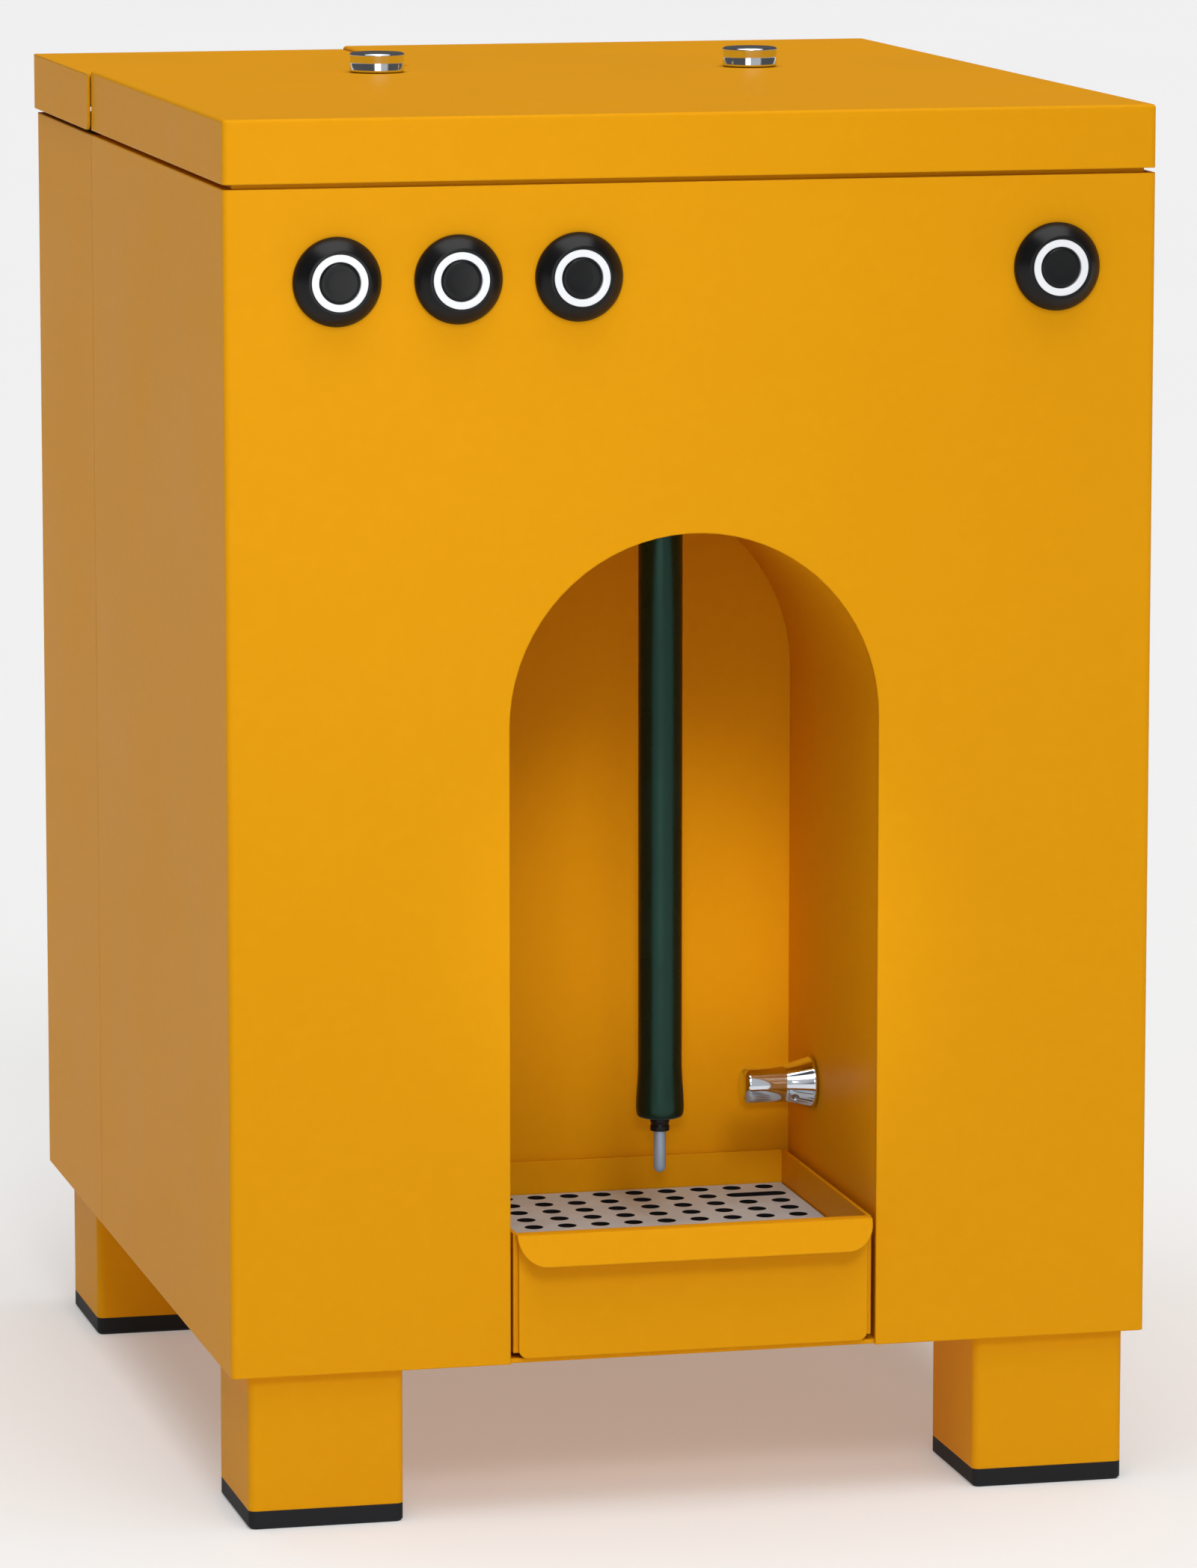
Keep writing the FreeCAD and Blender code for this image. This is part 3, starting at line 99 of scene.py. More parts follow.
class Nodes:
    """A small helper that adds nodes to one material and links them."""

    def __init__(self, name):
        self.material = bpy.data.materials.new(name)
        self.material.use_nodes = True
        self.tree = self.material.node_tree
        self.tree.nodes.clear()
        self.output = self.tree.nodes.new("ShaderNodeOutputMaterial")
        self.shader = self.tree.nodes.new("ShaderNodeBsdfPrincipled")
        self.link(self.shader.outputs[0], self.output.inputs[0])
        self.place = self.tree.nodes.new("ShaderNodeTexCoord").outputs["Object"]

    def link(self, source, target):
        self.tree.links.new(source, target)

    def set(self, **values):
        """Plain values on the shader's own sockets; underscores stand for spaces."""
        for key, value in values.items():
            self.shader.inputs[key.replace("_", " ")].default_value = value

    def stretched(self, scale):
        """The object's own coordinates, scaled differently along each axis."""
        node = self.tree.nodes.new("ShaderNodeMapping")
        node.inputs["Scale"].default_value = scale
        self.link(self.place, node.inputs["Vector"])
        return node.outputs[0]

    def noise(self, scale, detail=3.0, roughness=0.5, place=None):
        """A noise pattern; scale is in features per metre."""
        node = self.tree.nodes.new("ShaderNodeTexNoise")
        node.inputs["Scale"].default_value = scale
        node.inputs["Detail"].default_value = detail
        node.inputs["Roughness"].default_value = roughness
        self.link(place or self.place, node.inputs["Vector"])
        return node.outputs[0]

    def cells(self, scale, feature="F1", place=None):
        """A cell pattern's distance."""
        node = self.tree.nodes.new("ShaderNodeTexVoronoi")
        node.feature = feature
        node.inputs["Scale"].default_value = scale
        self.link(place or self.place, node.inputs["Vector"])
        return node.outputs["Distance"]

    def ramp(self, value, low, high, first=0.0, last=1.0):
        """Value from low to high, remapped to first to last and clamped."""
        node = self.tree.nodes.new("ShaderNodeMapRange")
        node.inputs["From Min"].default_value = low
        node.inputs["From Max"].default_value = high
        node.inputs["To Min"].default_value = first
        node.inputs["To Max"].default_value = last
        self.link(value, node.inputs["Value"])
        return node.outputs[0]

    def math(self, operation, first, second):
        node = self.tree.nodes.new("ShaderNodeMath")
        node.operation = operation
        for socket, value in zip(node.inputs, (first, second)):
            if isinstance(value, (int, float)):
                socket.default_value = value
            else:
                self.link(value, socket)
        return node.outputs[0]

    def mix(self, factor, first, second):
        """A colour between two colours, each a tuple or a socket."""
        node = self.tree.nodes.new("ShaderNodeMix")
        node.data_type = "RGBA"
        self.link(factor, node.inputs[0])
        for socket, value in ((node.inputs[6], first), (node.inputs[7], second)):
            if isinstance(value, tuple):
                socket.default_value = (*value, 1.0)
            else:
                self.link(value, socket)
        return node.outputs[2]

    def edges(self, radius):
        """About 0 on open faces and 1 right at outer and inner edges."""
        bevel = self.tree.nodes.new("ShaderNodeBevel")
        bevel.samples = BEVEL_SAMPLES
        bevel.inputs["Radius"].default_value = radius
        geometry = self.tree.nodes.new("ShaderNodeNewGeometry")
        dot = self.tree.nodes.new("ShaderNodeVectorMath")
        dot.operation = "DOT_PRODUCT"
        self.link(bevel.outputs[0], dot.inputs[0])
        self.link(geometry.outputs["Normal"], dot.inputs[1])
        return self.ramp(dot.outputs["Value"], *EDGE_COSINES)

    def upright(self):
        """1 on faces that lie level and 0 on faces that stand."""
        parts = self.tree.nodes.new("ShaderNodeSeparateXYZ")
        geometry = self.tree.nodes.new("ShaderNodeNewGeometry")
        self.link(geometry.outputs["True Normal"], parts.inputs[0])
        return self.ramp(self.math("ABSOLUTE", parts.outputs["Z"], 0.0), *FLAT_SLOPES)

    def rounded(self, radius):
        """A normal that rounds sharp edges by this radius."""
        bevel = self.tree.nodes.new("ShaderNodeBevel")
        bevel.samples = BEVEL_SAMPLES
        bevel.inputs["Radius"].default_value = radius
        return bevel.outputs[0]

    def bump(self, height, strength, distance, normal=None):
        node = self.tree.nodes.new("ShaderNodeBump")
        node.inputs["Strength"].default_value = strength
        node.inputs["Distance"].default_value = distance
        self.link(height, node.inputs["Height"])
        if normal is not None:
            self.link(normal, node.inputs["Normal"])
        return node.outputs[0]

    def colour(self, value):
        self.link(value, self.shader.inputs["Base Color"])

    def roughness(self, value):
        self.link(value, self.shader.inputs["Roughness"])

    def normal(self, value):
        self.link(value, self.shader.inputs["Normal"])


def powder_coat():
    """Amber satin powder coat: orange-peel skin, very faint mottling, and paler edges that are partly a
    painted highlight and partly wear.
    """
    m = Nodes("cabinet_paint")
    mottle = m.noise(14.0, 4.0, 0.6)
    film = m.noise(220.0, 2.0)
    edge_highlight_and_wear = m.edges(1.1 * MM)
    tone = m.mix(m.ramp(mottle, 0.30, 0.70, 0.35, 0.75), AMBER_DEEP, AMBER)
    tone = m.mix(m.ramp(film, 0.45, 0.75, 0.0, 0.18), tone, AMBER_PALE)
    # paler colour along the edges: partly a painted highlight, partly wear
    m.colour(m.mix(m.math("MULTIPLY", edge_highlight_and_wear, 0.7), tone, AMBER_PALE))
    peel = m.noise(780.0, 2.0, 0.45)
    rough = m.ramp(mottle, 0.3, 0.7, 0.38, 0.44)
    m.roughness(m.math("SUBTRACT", rough, m.math("MULTIPLY", edge_highlight_and_wear, 0.08)))
    m.normal(m.bump(peel, 0.11, 0.25 * MM, m.rounded(0.8 * MM)))
    m.set(Specular_IOR_Level=0.02)
    return m.material


def metal(name, pale, deep, rough, grain=None, grain_height=0.02, edge_shine=0.0, metallic=1.0):
    """A metal with smudged roughness, and a drawn grain along the stretched axis if one is given."""
    m = Nodes(name)
    smudge = m.noise(55.0, 4.0, 0.65)
    tone = m.mix(m.ramp(smudge, 0.35, 0.7), deep, pale)
    edge_highlight_and_wear = m.edges(0.5 * MM)
    # paler colour along the edges: partly a painted highlight, partly wear
    m.colour(m.mix(m.math("MULTIPLY", edge_highlight_and_wear, 0.6), tone, pale))
    low, high = rough
    roughness = m.ramp(smudge, 0.3, 0.75, low, high)
    normal = m.rounded(0.25 * MM)
    if grain is not None:
        lines = m.noise(1.0, 3.0, 0.6, m.stretched(grain))
        roughness = m.math("ADD", roughness, m.ramp(lines, 0.3, 0.7, -0.05, 0.07))
        normal = m.bump(lines, 0.35, grain_height * MM, normal)
    else:
        normal = m.bump(m.noise(1400.0, 3.0, 0.6), 0.04, 0.02 * MM, normal)
    m.roughness(m.math("SUBTRACT", roughness, m.math("MULTIPLY", edge_highlight_and_wear, edge_shine)))
    m.normal(normal)
    m.set(Metallic=metallic)
    return m.material


def moulded(name, pale, deep, rough, grain_scale, grain_strength, **values):
    """A moulded plastic or rubber with a fine surface grain and paler edges, partly rubbed wear and partly a
    painted highlight.
    """
    m = Nodes(name)
    cloud = m.noise(38.0, 3.0, 0.55)
    edge_highlight_and_wear = m.edges(0.6 * MM)
    tone = m.mix(m.ramp(cloud, 0.35, 0.7, 0.0, 0.6), deep, pale)
    # paler colour along the edges: partly rubbed wear, partly a painted highlight
    m.colour(m.mix(m.math("MULTIPLY", edge_highlight_and_wear, 0.5), tone, pale))
    low, high = rough
    m.roughness(m.ramp(cloud, 0.3, 0.7, low, high))
    grain = m.noise(grain_scale, 2.0, 0.5)
    m.normal(m.bump(grain, grain_strength, 0.08 * MM, m.rounded(0.35 * MM)))
    m.set(**values)
    return m.material


def pierced_steel():
    """Brushed grille plate whose pierced hole walls, which face sideways, get a near-black painted shade."""
    m = Nodes("pierced_steel")
    smudge = m.noise(60.0, 4.0, 0.65)
    lines = m.noise(1.0, 3.0, 0.6, m.stretched((1600.0, 60.0, 1600.0)))
    tone = m.mix(m.ramp(smudge, 0.35, 0.7), GRILLE_DEEP, GRILLE)
    tone = m.mix(m.ramp(lines, 0.4, 0.7, 0.0, 0.35), tone, GRILLE_DEEP)
    # faces that stand, the hole walls, get painted shade instead of the steel tone
    m.colour(m.mix(m.upright(), HOLE_WALL_PAINTED_SHADE, tone))
    m.roughness(m.math("ADD", m.ramp(smudge, 0.3, 0.75, 0.36, 0.46), m.ramp(lines, 0.3, 0.7, -0.05, 0.07)))
    m.normal(m.bump(lines, 0.3, 0.03 * MM, m.rounded(0.15 * MM)))
    m.set(Metallic=0.12, Specular_IOR_Level=0.12)
    return m.material


def circuit_board():
    """Green solder mask with paler copper tracks under it."""
    m = Nodes("circuit_board")
    tracks = m.cells(210.0, "DISTANCE_TO_EDGE", m.stretched((1.0, 1.0, 0.45)))
    line = m.ramp(tracks, 0.05, 0.09, 1.0, 0.0)
    m.colour(m.mix(line, BOARD, BOARD_TRACE))
    m.roughness(m.ramp(m.noise(60.0), 0.3, 0.7, 0.22, 0.36))
    m.normal(m.bump(line, 0.3, 0.05 * MM, m.rounded(0.2 * MM)))
    m.set(Specular_IOR_Level=0.5)
    return m.material


def studio_floor():
    m = Nodes("studio_floor")
    m.colour(m.mix(m.noise(0.6, 2.0), FLOOR, FLOOR_PALE))
    m.roughness(m.ramp(m.noise(3.0), 0.3, 0.7, 0.75, 0.85))
    m.set(Emission_Color=(1.0, 1.0, 1.0, 1.0), Emission_Strength=FLOOR_GLOW, Specular_IOR_Level=0.2)
    return m.material


MATERIALS = {
    "cabinet_paint": powder_coat(),
    "polished_chrome": metal("polished_chrome", CHROME, CHROME_DEEP, (0.04, 0.09)),
    "brushed_steel": metal("brushed_steel", STEEL, STEEL_DEEP, (0.38, 0.46),
                           grain=(60.0, 1600.0, 1600.0), grain_height=0.03, edge_shine=0.08, metallic=0.4),
    "foot_rubber": moulded("foot_rubber", RUBBER_PALE, RUBBER, (0.62, 0.74), 1500.0, 0.25,
                           Specular_IOR_Level=0.3),
    "black_plastic": moulded("black_plastic", BLACK_PALE, BLACK, (0.26, 0.34), 1800.0, 0.08,
                             Specular_IOR_Level=0.22),
    # the rings get a faint painted glow, though they are no lamp
    "ring_white": moulded("ring_white", RING, RING_DEEP, (0.20, 0.28), 900.0, 0.02,
                          Emission_Color=(0.95, 0.97, 1.0, 1.0), Emission_Strength=0.12),
    "wand_sleeve": moulded("wand_sleeve", SLEEVE_PALE, SLEEVE, (0.24, 0.32), 900.0, 0.05,
                           Specular_Tint=(*SLEEVE_SHINE, 1.0), Specular_IOR_Level=0.55),
    "brass": metal("brass", BRASS, BRASS_DEEP, (0.22, 0.34)),
    "tank_plastic": moulded("tank_plastic", MILKY, MILKY_DEEP, (0.34, 0.44), 700.0, 0.05,
                            Subsurface_Weight=0.3, Subsurface_Scale=0.004),
    "circuit_board": circuit_board(),
    "zinc_steel": metal("zinc_steel", ZINC, ZINC_DEEP, (0.30, 0.46)),
    "pipe_metal": metal("pipe_metal", COPPER, COPPER_DEEP, (0.22, 0.36)),
}


def dress_cad():
    """Gives every CAD node the material of its slot in the record."""
    for subpart in frame["record"]["subparts"]:
        node = frame["nodes"][subpart["node"]]
        for slot in node.material_slots:
            slot.material = MATERIALS[subpart["material_slot"]]
    for slot in frame["nodes"]["drip_grille"].material_slots:
        slot.material = pierced_steel()


# ---- turned pieces ------------------------------------------------------------------------------
AXES = {"X": (Vector((1, 0, 0)), Vector((0, 1, 0)), Vector((0, 0, 1))),
        "Y": (Vector((0, 1, 0)), Vector((0, 0, 1)), Vector((1, 0, 0))),
        "Z": (Vector((0, 0, 1)), Vector((1, 0, 0)), Vector((0, 1, 0)))}
SEGMENTS = 96
CORNER_STEPS = 5
SHARP = math.radians(38.0)


def soften(outline, radius):
    """The closed outline with its off-axis corners rounded; points are (along, out)."""
    points = [Vector(p) for p in outline]
    soft = []
    for k, corner in enumerate(points):
        before, after = points[k - 1], points[(k + 1) % len(points)]
        reach = min(radius, 0.45 * (before - corner).length, 0.45 * (after - corner).length)
        if corner.y == 0.0 or reach == 0.0:
            soft.append(corner)
            continue
        start = corner + (before - corner).normalized() * reach
        end = corner + (after - corner).normalized() * reach
        for step in range(CORNER_STEPS + 1):
            t = step / CORNER_STEPS
            soft.append(start * (1 - t) ** 2 + corner * (2 * t * (1 - t)) + end * t ** 2)
    return soft


def turn(mesh, centre, axis, outline):
    """Adds the closed outline, turned about an axis through centre, to a bmesh."""
    along, first, second = AXES[axis]
    rings = []
    for place, out in outline:
        middle = Vector(centre) + along * place
        if out < 1e-7:
            rings.append([mesh.verts.new(middle)])
            continue
        spokes = []
        for step in range(SEGMENTS):
            angle = 2 * math.pi * step / SEGMENTS
            spokes.append(first * math.cos(angle) + second * math.sin(angle))
        rings.append([mesh.verts.new(middle + spoke * out) for spoke in spokes])
    for k, ring in enumerate(rings):
        following = rings[(k + 1) % len(rings)]
        if len(ring) == 1 and len(following) == 1:
            continue
        for j in range(SEGMENTS):
            corners = [ring[j % len(ring)], ring[(j + 1) % len(ring)],
                       following[(j + 1) % len(following)], following[j % len(following)]]
            unique = list(dict.fromkeys(corners))
            mesh.faces.new(unique)


def add_piece(name, mesh, slot, body, *nodes):
    """Turns a bmesh into a piece of the model that stands for the given CAD nodes."""
    bmesh.ops.recalc_face_normals(mesh, faces=mesh.faces)
    for face in mesh.faces:
        face.smooth = True
    for edge_highlight_and_wear in mesh.edges:
        if len(edge_highlight_and_wear.link_faces) == 2 and edge_highlight_and_wear.calc_face_angle() > SHARP:
            edge_highlight_and_wear.smooth = False
    data = bpy.data.meshes.new(name)
    mesh.to_mesh(data)
    mesh.free()
    piece = bpy.data.objects.new(name, data)
    bpy.context.scene.collection.objects.link(piece)
    data.materials.append(MATERIALS[slot])
    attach(piece, body)
    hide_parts(*nodes)
    return piece


def middle_of(node):
    low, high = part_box(node)
    return (Vector(low) + Vector(high)) * 0.5


def size_of(node):
    low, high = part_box(node)
    return Vector(high) - Vector(low)


# ---- steam wand ---------------------------------------------------------------------------------
COLLAR_WALL = 0.55 * MM
COLLAR_GROOVE = 0.25 * MM
COLLAR_SOFTNESS = 0.25 * MM
SLEEVE_NECK = 7.1 * MM
SLEEVE_RIM = 2.5 * MM
SLEEVE_CHAMFER = 0.4 * MM
SLEEVE_SOFTNESS = 1.2 * MM
SLEEVE_FLARE = 16.0 * MM
SLEEVE_STEPS = 14
NOZZLE_BORE = 0.6 * MM
DOME_STEPS = 8


def make_wand():
    """The sleeve with its flared grip end, the collar under it and the round-ended steel nozzle."""
    low, high = (Vector(corner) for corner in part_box("wand_sleeve"))
    middle = middle_of("wand_sleeve")
    tube_radius = size_of("wand_collar").x / 2 - COLLAR_WALL
    flare = (high.x - low.x) / 2
    length = high.z - low.z
    outline = [(0.0, tube_radius), (0.0, flare - SLEEVE_CHAMFER)]
    for step in range(SLEEVE_STEPS + 1):
        t = step / SLEEVE_STEPS
        swell = 0.5 + 0.5 * math.cos(math.pi * t)
        outline.append((SLEEVE_RIM + t * SLEEVE_FLARE, SLEEVE_NECK + (flare - SLEEVE_NECK) * swell))
    outline += [(length, SLEEVE_NECK), (length, tube_radius)]
    mesh = bmesh.new()
    turn(mesh, (middle.x, middle.y, low.z), "Z", soften(outline, SLEEVE_SOFTNESS))
    add_piece("sleeve", mesh, "wand_sleeve", "wand", "wand_sleeve")

    low, high = (Vector(corner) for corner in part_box("wand_collar"))
    radius = (high.x - low.x) / 2
    length = high.z - low.z
    waist = radius - COLLAR_GROOVE
    outline = [(0.0, tube_radius), (0.0, radius), (0.35 * length, radius), (0.42 * length, waist),
               (0.55 * length, waist), (0.62 * length, radius), (length, radius), (length, tube_radius)]
    mesh = bmesh.new()
    turn(mesh, (middle.x, middle.y, low.z), "Z", soften(outline, COLLAR_SOFTNESS))
    add_piece("collar", mesh, "black_plastic", "wand", "wand_collar")

    low, high = (Vector(corner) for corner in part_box("wand_nozzle"))
    radius = (high.x - low.x) / 2
    outline = [(high.z - low.z, NOZZLE_BORE), (high.z - low.z, radius)]
    for step in range(DOME_STEPS + 1):
        angle = math.pi / 2 * step / DOME_STEPS
        outline.append((radius * (1 - math.sin(angle)), max(radius * math.cos(angle), NOZZLE_BORE)))
    outline.append((1.5 * radius, NOZZLE_BORE))
    mesh = bmesh.new()
    turn(mesh, (middle.x, middle.y, low.z), "Z", [Vector(point) for point in outline])
    add_piece("nozzle", mesh, "brushed_steel", "wand", "wand_nozzle")


# ---- push buttons -------------------------------------------------------------------------------
BARREL_RADIUS = 10.9 * MM
BARREL_FLOOR_HOLE = 2.0 * MM
BARREL_FLOOR = 8.0 * MM
THREAD_PITCH = 1.25 * MM
THREAD_DEPTH = 0.35 * MM
THREAD_MARGIN = 1.6 * MM
BEZEL_FACE = 1.0 * MM
BEZEL_EDGE = 1.2 * MM
BEZEL_STEPS = 7
CAP_GAP = 0.2 * MM
CAP_THICKNESS = 6.6 * MM
CAP_STEM = 3.0 * MM
CAP_DISH = 0.35 * MM
CAP_CHAMFER = 0.7 * MM
CAP_EDGE = 0.5 * MM
RING_DEPTH = 1.6 * MM
BEZEL_SOFTNESS = 0.35 * MM
RING_SOFTNESS = 0.25 * MM
CAP_SOFTNESS = 0.4 * MM
BUTTONS = (1, 2, 3, 4)


def bezel_outline(panel, total, outer, ring_outer, bore):
    """A convex bezel outside, and a threaded barrel through the panel."""
    face = ring_outer + BEZEL_FACE
    outline = [(0.0, ring_outer), (0.0, face)]
    for step in range(1, BEZEL_STEPS + 1):
        t = step / BEZEL_STEPS
        bulge = 0.5 * (math.sin(math.pi / 2 * t) + t)
        outline.append(((panel - BEZEL_EDGE) * t, face + (outer - face) * bulge))
    outline += [(panel, outer), (panel, BARREL_RADIUS)]
    place = panel + THREAD_MARGIN
    while place + THREAD_PITCH < total - THREAD_MARGIN:
        outline.append((place, BARREL_RADIUS))
        outline.append((place + 0.5 * THREAD_PITCH, BARREL_RADIUS - THREAD_DEPTH))
        place += THREAD_PITCH
    outline += [(total, BARREL_RADIUS), (total, BARREL_FLOOR_HOLE), (total - BARREL_FLOOR, BARREL_FLOOR_HOLE),
                (total - BARREL_FLOOR, bore), (RING_DEPTH, bore), (RING_DEPTH, ring_outer)]
    return outline


def make_buttons():
    """Four push buttons: convex bezels, pale rings and slightly dished caps."""
    low, high = (Vector(corner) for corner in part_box("button_bezels"))
    panel = Vector(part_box("front_shell")[0]).y - low.y
    ring_outer = size_of("button_rings").z / 2
    cap_radius = size_of("button_cap_1").x / 2
    bore = cap_radius + CAP_GAP
    bezels = bmesh.new()
    rings = bmesh.new()
    for number in BUTTONS:
        node = f"button_cap_{number}"
        middle = middle_of(node)
        start = (middle.x, low.y, middle.z)
        outline = bezel_outline(panel, high.y - low.y, (high.z - low.z) / 2, ring_outer, bore)
        turn(bezels, start, "Y", soften(outline, BEZEL_SOFTNESS))
        ring = [(0.0, bore), (0.0, ring_outer), (RING_DEPTH, ring_outer), (RING_DEPTH, bore)]
        turn(rings, start, "Y", soften(ring, RING_SOFTNESS))
        cap = [(CAP_DISH, 0.0), (0.6 * CAP_DISH, 0.55 * cap_radius), (0.0, cap_radius - CAP_CHAMFER),
               (CAP_EDGE, cap_radius), (CAP_THICKNESS, cap_radius), (CAP_THICKNESS, CAP_STEM),
               (size_of(node).y, CAP_STEM), (size_of(node).y, 0.0)]
        caps = bmesh.new()
        turn(caps, start, "Y", soften(cap, CAP_SOFTNESS))
        add_piece(f"cap_{number}", caps, "black_plastic", f"button_{number}", node)
    add_piece("bezels", bezels, "black_plastic", "cabinet", "button_bezels")
    add_piece("rings", rings, "ring_white", "cabinet", "button_rings")


# ---- thumb screws -------------------------------------------------------------------------------
SHANK_RADIUS = 3.0 * MM
HEAD_HEIGHT = 6.5 * MM
HEAD_WAIST = 0.25 * MM
HEAD_CHAMFER = 0.5 * MM
HEAD_CROWN = 0.8 * MM
HEAD_SOFTNESS = 0.3 * MM
DISH_RIM = 0.3 * MM
DISH_DEPTH = 0.4 * MM
SHANK_CHAMFER = 0.4 * MM


def make_thumb_screws():
    """Two polished turned heads with a shallow dish on top, on threaded shanks."""
    for side in ("left", "right"):
        node = f"thumb_screw_{side}"
        low, high = (Vector(corner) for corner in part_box(node))
        middle = middle_of(node)
        radius = (high.x - low.x) / 2
        foot = high.z - low.z - HEAD_HEIGHT
        top = high.z - low.z
        outline = [(0.0, 0.0), (0.0, SHANK_RADIUS - SHANK_CHAMFER)]
        place = SHANK_CHAMFER
        while place + THREAD_PITCH < foot - THREAD_MARGIN:
            outline.append((place, SHANK_RADIUS))
            outline.append((place + 0.5 * THREAD_PITCH, SHANK_RADIUS - THREAD_DEPTH))
            place += THREAD_PITCH
        outline += [(place, SHANK_RADIUS), (foot, SHANK_RADIUS), (foot, radius - HEAD_CHAMFER),
                    (foot + HEAD_CHAMFER, radius), (foot + 0.5 * HEAD_HEIGHT, radius - HEAD_WAIST),
                    (top - HEAD_CHAMFER, radius), (top, radius - HEAD_CROWN), (top - DISH_RIM, 0.6 * radius),
                    (top - DISH_DEPTH, 0.0)]
        mesh = bmesh.new()
        turn(mesh, (middle.x, middle.y, low.z), "Z", soften(outline, HEAD_SOFTNESS))
        add_piece(f"{node}_turned", mesh, "polished_chrome", node, node)


# ---- valve knob ---------------------------------------------------------------------------------
KNOB_GRIP = 6.15 * MM
KNOB_CHAMFER = 1.2 * MM
KNOB_SOFTNESS = 0.7 * MM
KNOB_CURVE = 1.25
KNOB_CONE = 9.5 * MM
KNOB_RIM = 0.8 * MM
KNOB_RECESS = (6.6 * MM, 4.2 * MM)
KNOB_BORE_PAST_CONE = 6.0 * MM
KNOB_FIT = 0.03 * MM
CONE_STEPS = 6
GRUB_RADIUS = 1.25 * MM
HOLE_REACH = 12.0 * MM
HOLE_SEGMENTS = 40
HOLE_ANGLE = math.radians(35.0)


def make_valve_knob():
    """The polished knob: a plain grip that flares to its foot, with the hole of its set screw."""
    low, high = (Vector(corner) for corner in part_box("valve_knob"))
    middle = middle_of("valve_knob")
    length = high.x - low.x
    foot = (high.z - low.z) / 2
    spindle = size_of("valve_spindle").z / 2 + KNOB_FIT
    recess_radius, recess_depth = KNOB_RECESS
    bore_end = KNOB_CONE + KNOB_BORE_PAST_CONE
    outline = [(0.0, 0.0), (0.0, KNOB_GRIP - KNOB_CHAMFER), (KNOB_CHAMFER, KNOB_GRIP),
               (length - KNOB_CONE, KNOB_GRIP)]
    for step in range(1, CONE_STEPS + 1):
        t = step / CONE_STEPS
        spread = t ** KNOB_CURVE
        place = length - KNOB_CONE + t * (KNOB_CONE - KNOB_RIM)
        outline.append((place, KNOB_GRIP + (foot - KNOB_GRIP) * spread))
    outline += [(length, foot), (length, recess_radius), (length - recess_depth, recess_radius),
                (length - recess_depth, spindle), (length - bore_end, spindle), (length - bore_end, 0.0)]
    mesh = bmesh.new()
    turn(mesh, (low.x, middle.y, middle.z), "X", soften(outline, KNOB_SOFTNESS))
    knob = add_piece("knob", mesh, "polished_chrome", "valve_control", "valve_knob")
    drill(knob, middle_of("valve_grub_screw"), middle)


def drill(piece, through, middle):
    """Cuts the radial hole of the set screw out of a piece."""
    outward = Vector((0.0, -math.cos(HOLE_ANGLE), -math.sin(HOLE_ANGLE)))
    start = Vector((through.x, middle.y, middle.z))
    mesh = bmesh.new()
    bmesh.ops.create_cone(mesh, cap_ends=True, segments=HOLE_SEGMENTS, depth=HOLE_REACH,
                          radius1=GRUB_RADIUS, radius2=GRUB_RADIUS)
    data = bpy.data.meshes.new("set_screw_drill")
    mesh.to_mesh(data)
    mesh.free()
    cutter = bpy.data.objects.new("set_screw_drill", data)
    cutter.location = start + outward * (HOLE_REACH / 2 + GRUB_RADIUS)
    cutter.rotation_euler = outward.to_track_quat("Z", "Y").to_euler()
    bpy.context.scene.collection.objects.link(cutter)
    cut = piece.modifiers.new("set_screw_hole", "BOOLEAN")
    cut.operation = "DIFFERENCE"
    cut.solver = "EXACT"
    cut.object = cutter
    bpy.context.view_layer.update()
    shape = bpy.data.meshes.new_from_object(piece.evaluated_get(bpy.context.evaluated_depsgraph_get()))
    piece.modifiers.clear()
    piece.data = shape
    bpy.data.objects.remove(cutter)


# ---- stage --------------------------------------------------------------------------------------
FLOOR_SIDE = 80.0
LEFT_BOX_PLACE = (-0.13, -0.47, 0.41)
LEFT_BOX_TARGET = (-0.13, 0.0, 0.38)
LEFT_BOX_SIDE = 0.22
NICHE_LAMP_PLACE = (-0.24, -1.15, 0.42)
NICHE_LAMP_TARGET = (0.020, -0.10, 0.165)
SPOT_SOFTNESS = 0.05


def make_floor():
    bpy.ops.mesh.primitive_plane_add(size=FLOOR_SIDE, location=(0, 0, 0))
    floor = bpy.context.object
    floor.name = "studio_floor"
    floor.data.materials.append(studio_floor())


def area_light(name, place, target, side, power):
    """A square soft light that the camera doesn't see."""
    data = bpy.data.lights.new(name, "AREA")
    data.shape = "SQUARE"
    data.size = side
    data.energy = power
    light = bpy.data.objects.new(name, data)
    light.location = place
    light.rotation_euler = (Vector(target) - Vector(place)).to_track_quat("-Z", "Y").to_euler()
    light.visible_camera = False
    bpy.context.scene.collection.objects.link(light)


def make_world():
    """A dim room with one broad pale window in front, so that polished metal has light and dark to show."""
    world = bpy.data.worlds.new("studio")
    world.use_nodes = True
    tree = world.node_tree
    background = tree.nodes["Background"]
    background.inputs["Color"].default_value = (1.0, 1.0, 1.0, 1.0)
    direction = tree.nodes.new("ShaderNodeTexCoord").outputs["Generated"]
    facing = tree.nodes.new("ShaderNodeVectorMath")
    facing.operation = "DOT_PRODUCT"
    facing.inputs[1].default_value = Vector(WINDOW_PLACE).normalized()
    tree.links.new(direction, facing.inputs[0])
    tone = tree.nodes.new("ShaderNodeMapRange")
    tone.interpolation_type = "SMOOTHSTEP"
    tone.inputs["From Min"].default_value, tone.inputs["From Max"].default_value = WINDOW_REACH
    tone.inputs["To Min"].default_value = ROOM
    tone.inputs["To Max"].default_value = WINDOW
    tree.links.new(facing.outputs["Value"], tone.inputs["Value"])
    tree.links.new(tone.outputs[0], background.inputs["Strength"])
    bpy.context.scene.world = world


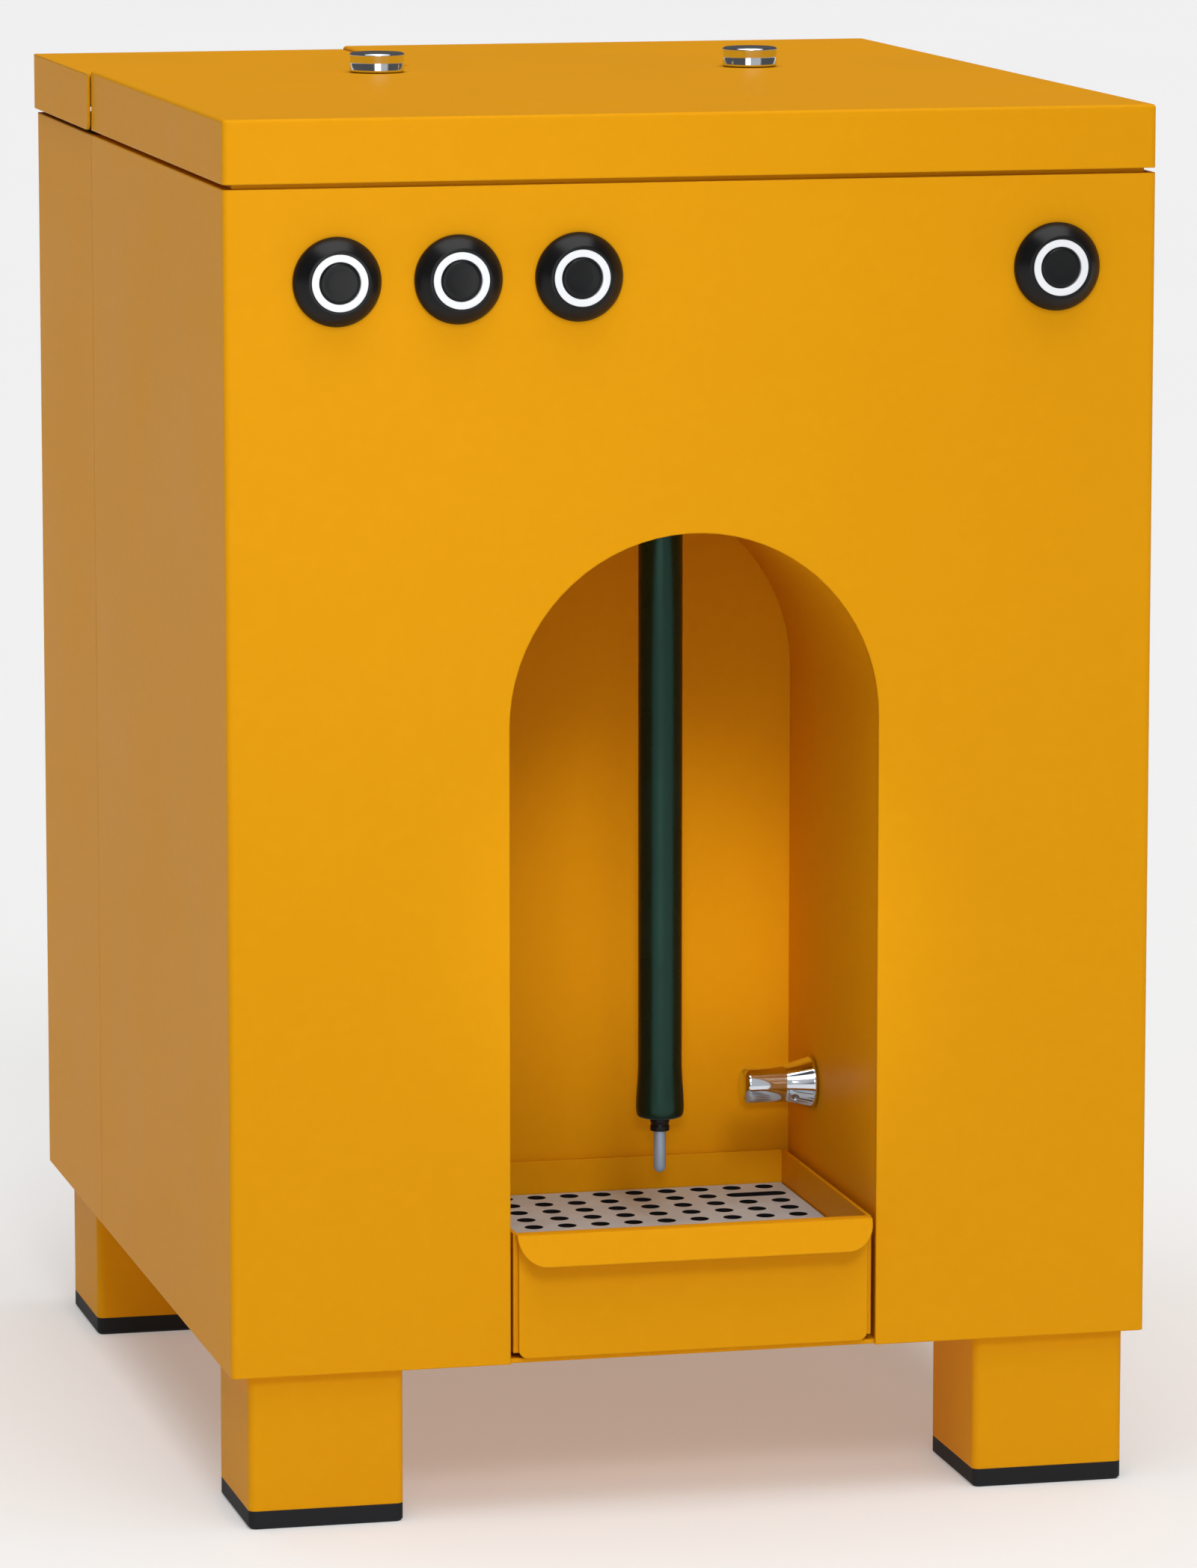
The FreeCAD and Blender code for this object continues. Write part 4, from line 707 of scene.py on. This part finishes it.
def make_sun(name, elevation, azimuth, softness, strength):
    """A distant soft light; azimuth 0 shines on the front and grows towards the object's right side."""
    data = bpy.data.lights.new(name, "SUN")
    data.angle = math.radians(softness)
    data.energy = strength
    light = bpy.data.objects.new(name, data)
    light.rotation_euler = (math.radians(90.0 - elevation), 0.0, math.radians(azimuth))
    bpy.context.scene.collection.objects.link(light)


def make_spot(name, place, target, cone, power):
    """A narrow soft-edged lamp that reaches into the niche; cone is its full angle in degrees."""
    data = bpy.data.lights.new(name, "SPOT")
    data.spot_size = math.radians(cone)
    data.spot_blend = 1.0
    data.shadow_soft_size = SPOT_SOFTNESS
    data.energy = power
    light = bpy.data.objects.new(name, data)
    light.location = place
    light.rotation_euler = (Vector(target) - Vector(place)).to_track_quat("-Z", "Y").to_euler()
    light.visible_camera = False
    bpy.context.scene.collection.objects.link(light)


def make_lights():
    """The room, two soft suns, a box at the front's upper left and a lamp into the niche."""
    make_world()
    make_sun("front_key", elevation=38.0, azimuth=-4.0, softness=15.0, strength=0.58)
    make_sun("top_key", elevation=86.0, azimuth=3.0, softness=60.0, strength=2.35)
    area_light("left_box", LEFT_BOX_PLACE, LEFT_BOX_TARGET, LEFT_BOX_SIDE, power=0.24)
    make_spot("niche_lamp", NICHE_LAMP_PLACE, NICHE_LAMP_TARGET, cone=6.6, power=26.0)
    bpy.context.scene.view_settings.view_transform = "Standard"


CAMERA_PLACE = (-0.5916, -2.5195, 0.6171)
CAMERA_PITCH = -8.996
CAMERA_YAW = -13.439
FOCAL_PIXELS = 10374.0
FRAME_HEIGHT = 2096.0
SENSOR = 36.0


def make_camera():
    data = bpy.data.cameras.new("camera")
    data.sensor_width = SENSOR
    data.lens = FOCAL_PIXELS / FRAME_HEIGHT * SENSOR
    data.clip_start, data.clip_end = 0.05, 200.0
    camera = bpy.data.objects.new("camera", data)
    camera.location = CAMERA_PLACE
    camera.rotation_euler = (math.radians(90.0 + CAMERA_PITCH), 0.0, math.radians(CAMERA_YAW))
    bpy.context.scene.collection.objects.link(camera)
    bpy.context.scene.camera = camera


dress_cad()
make_wand()
make_buttons()
make_thumb_screws()
make_valve_knob()
make_floor()
make_lights()
make_camera()
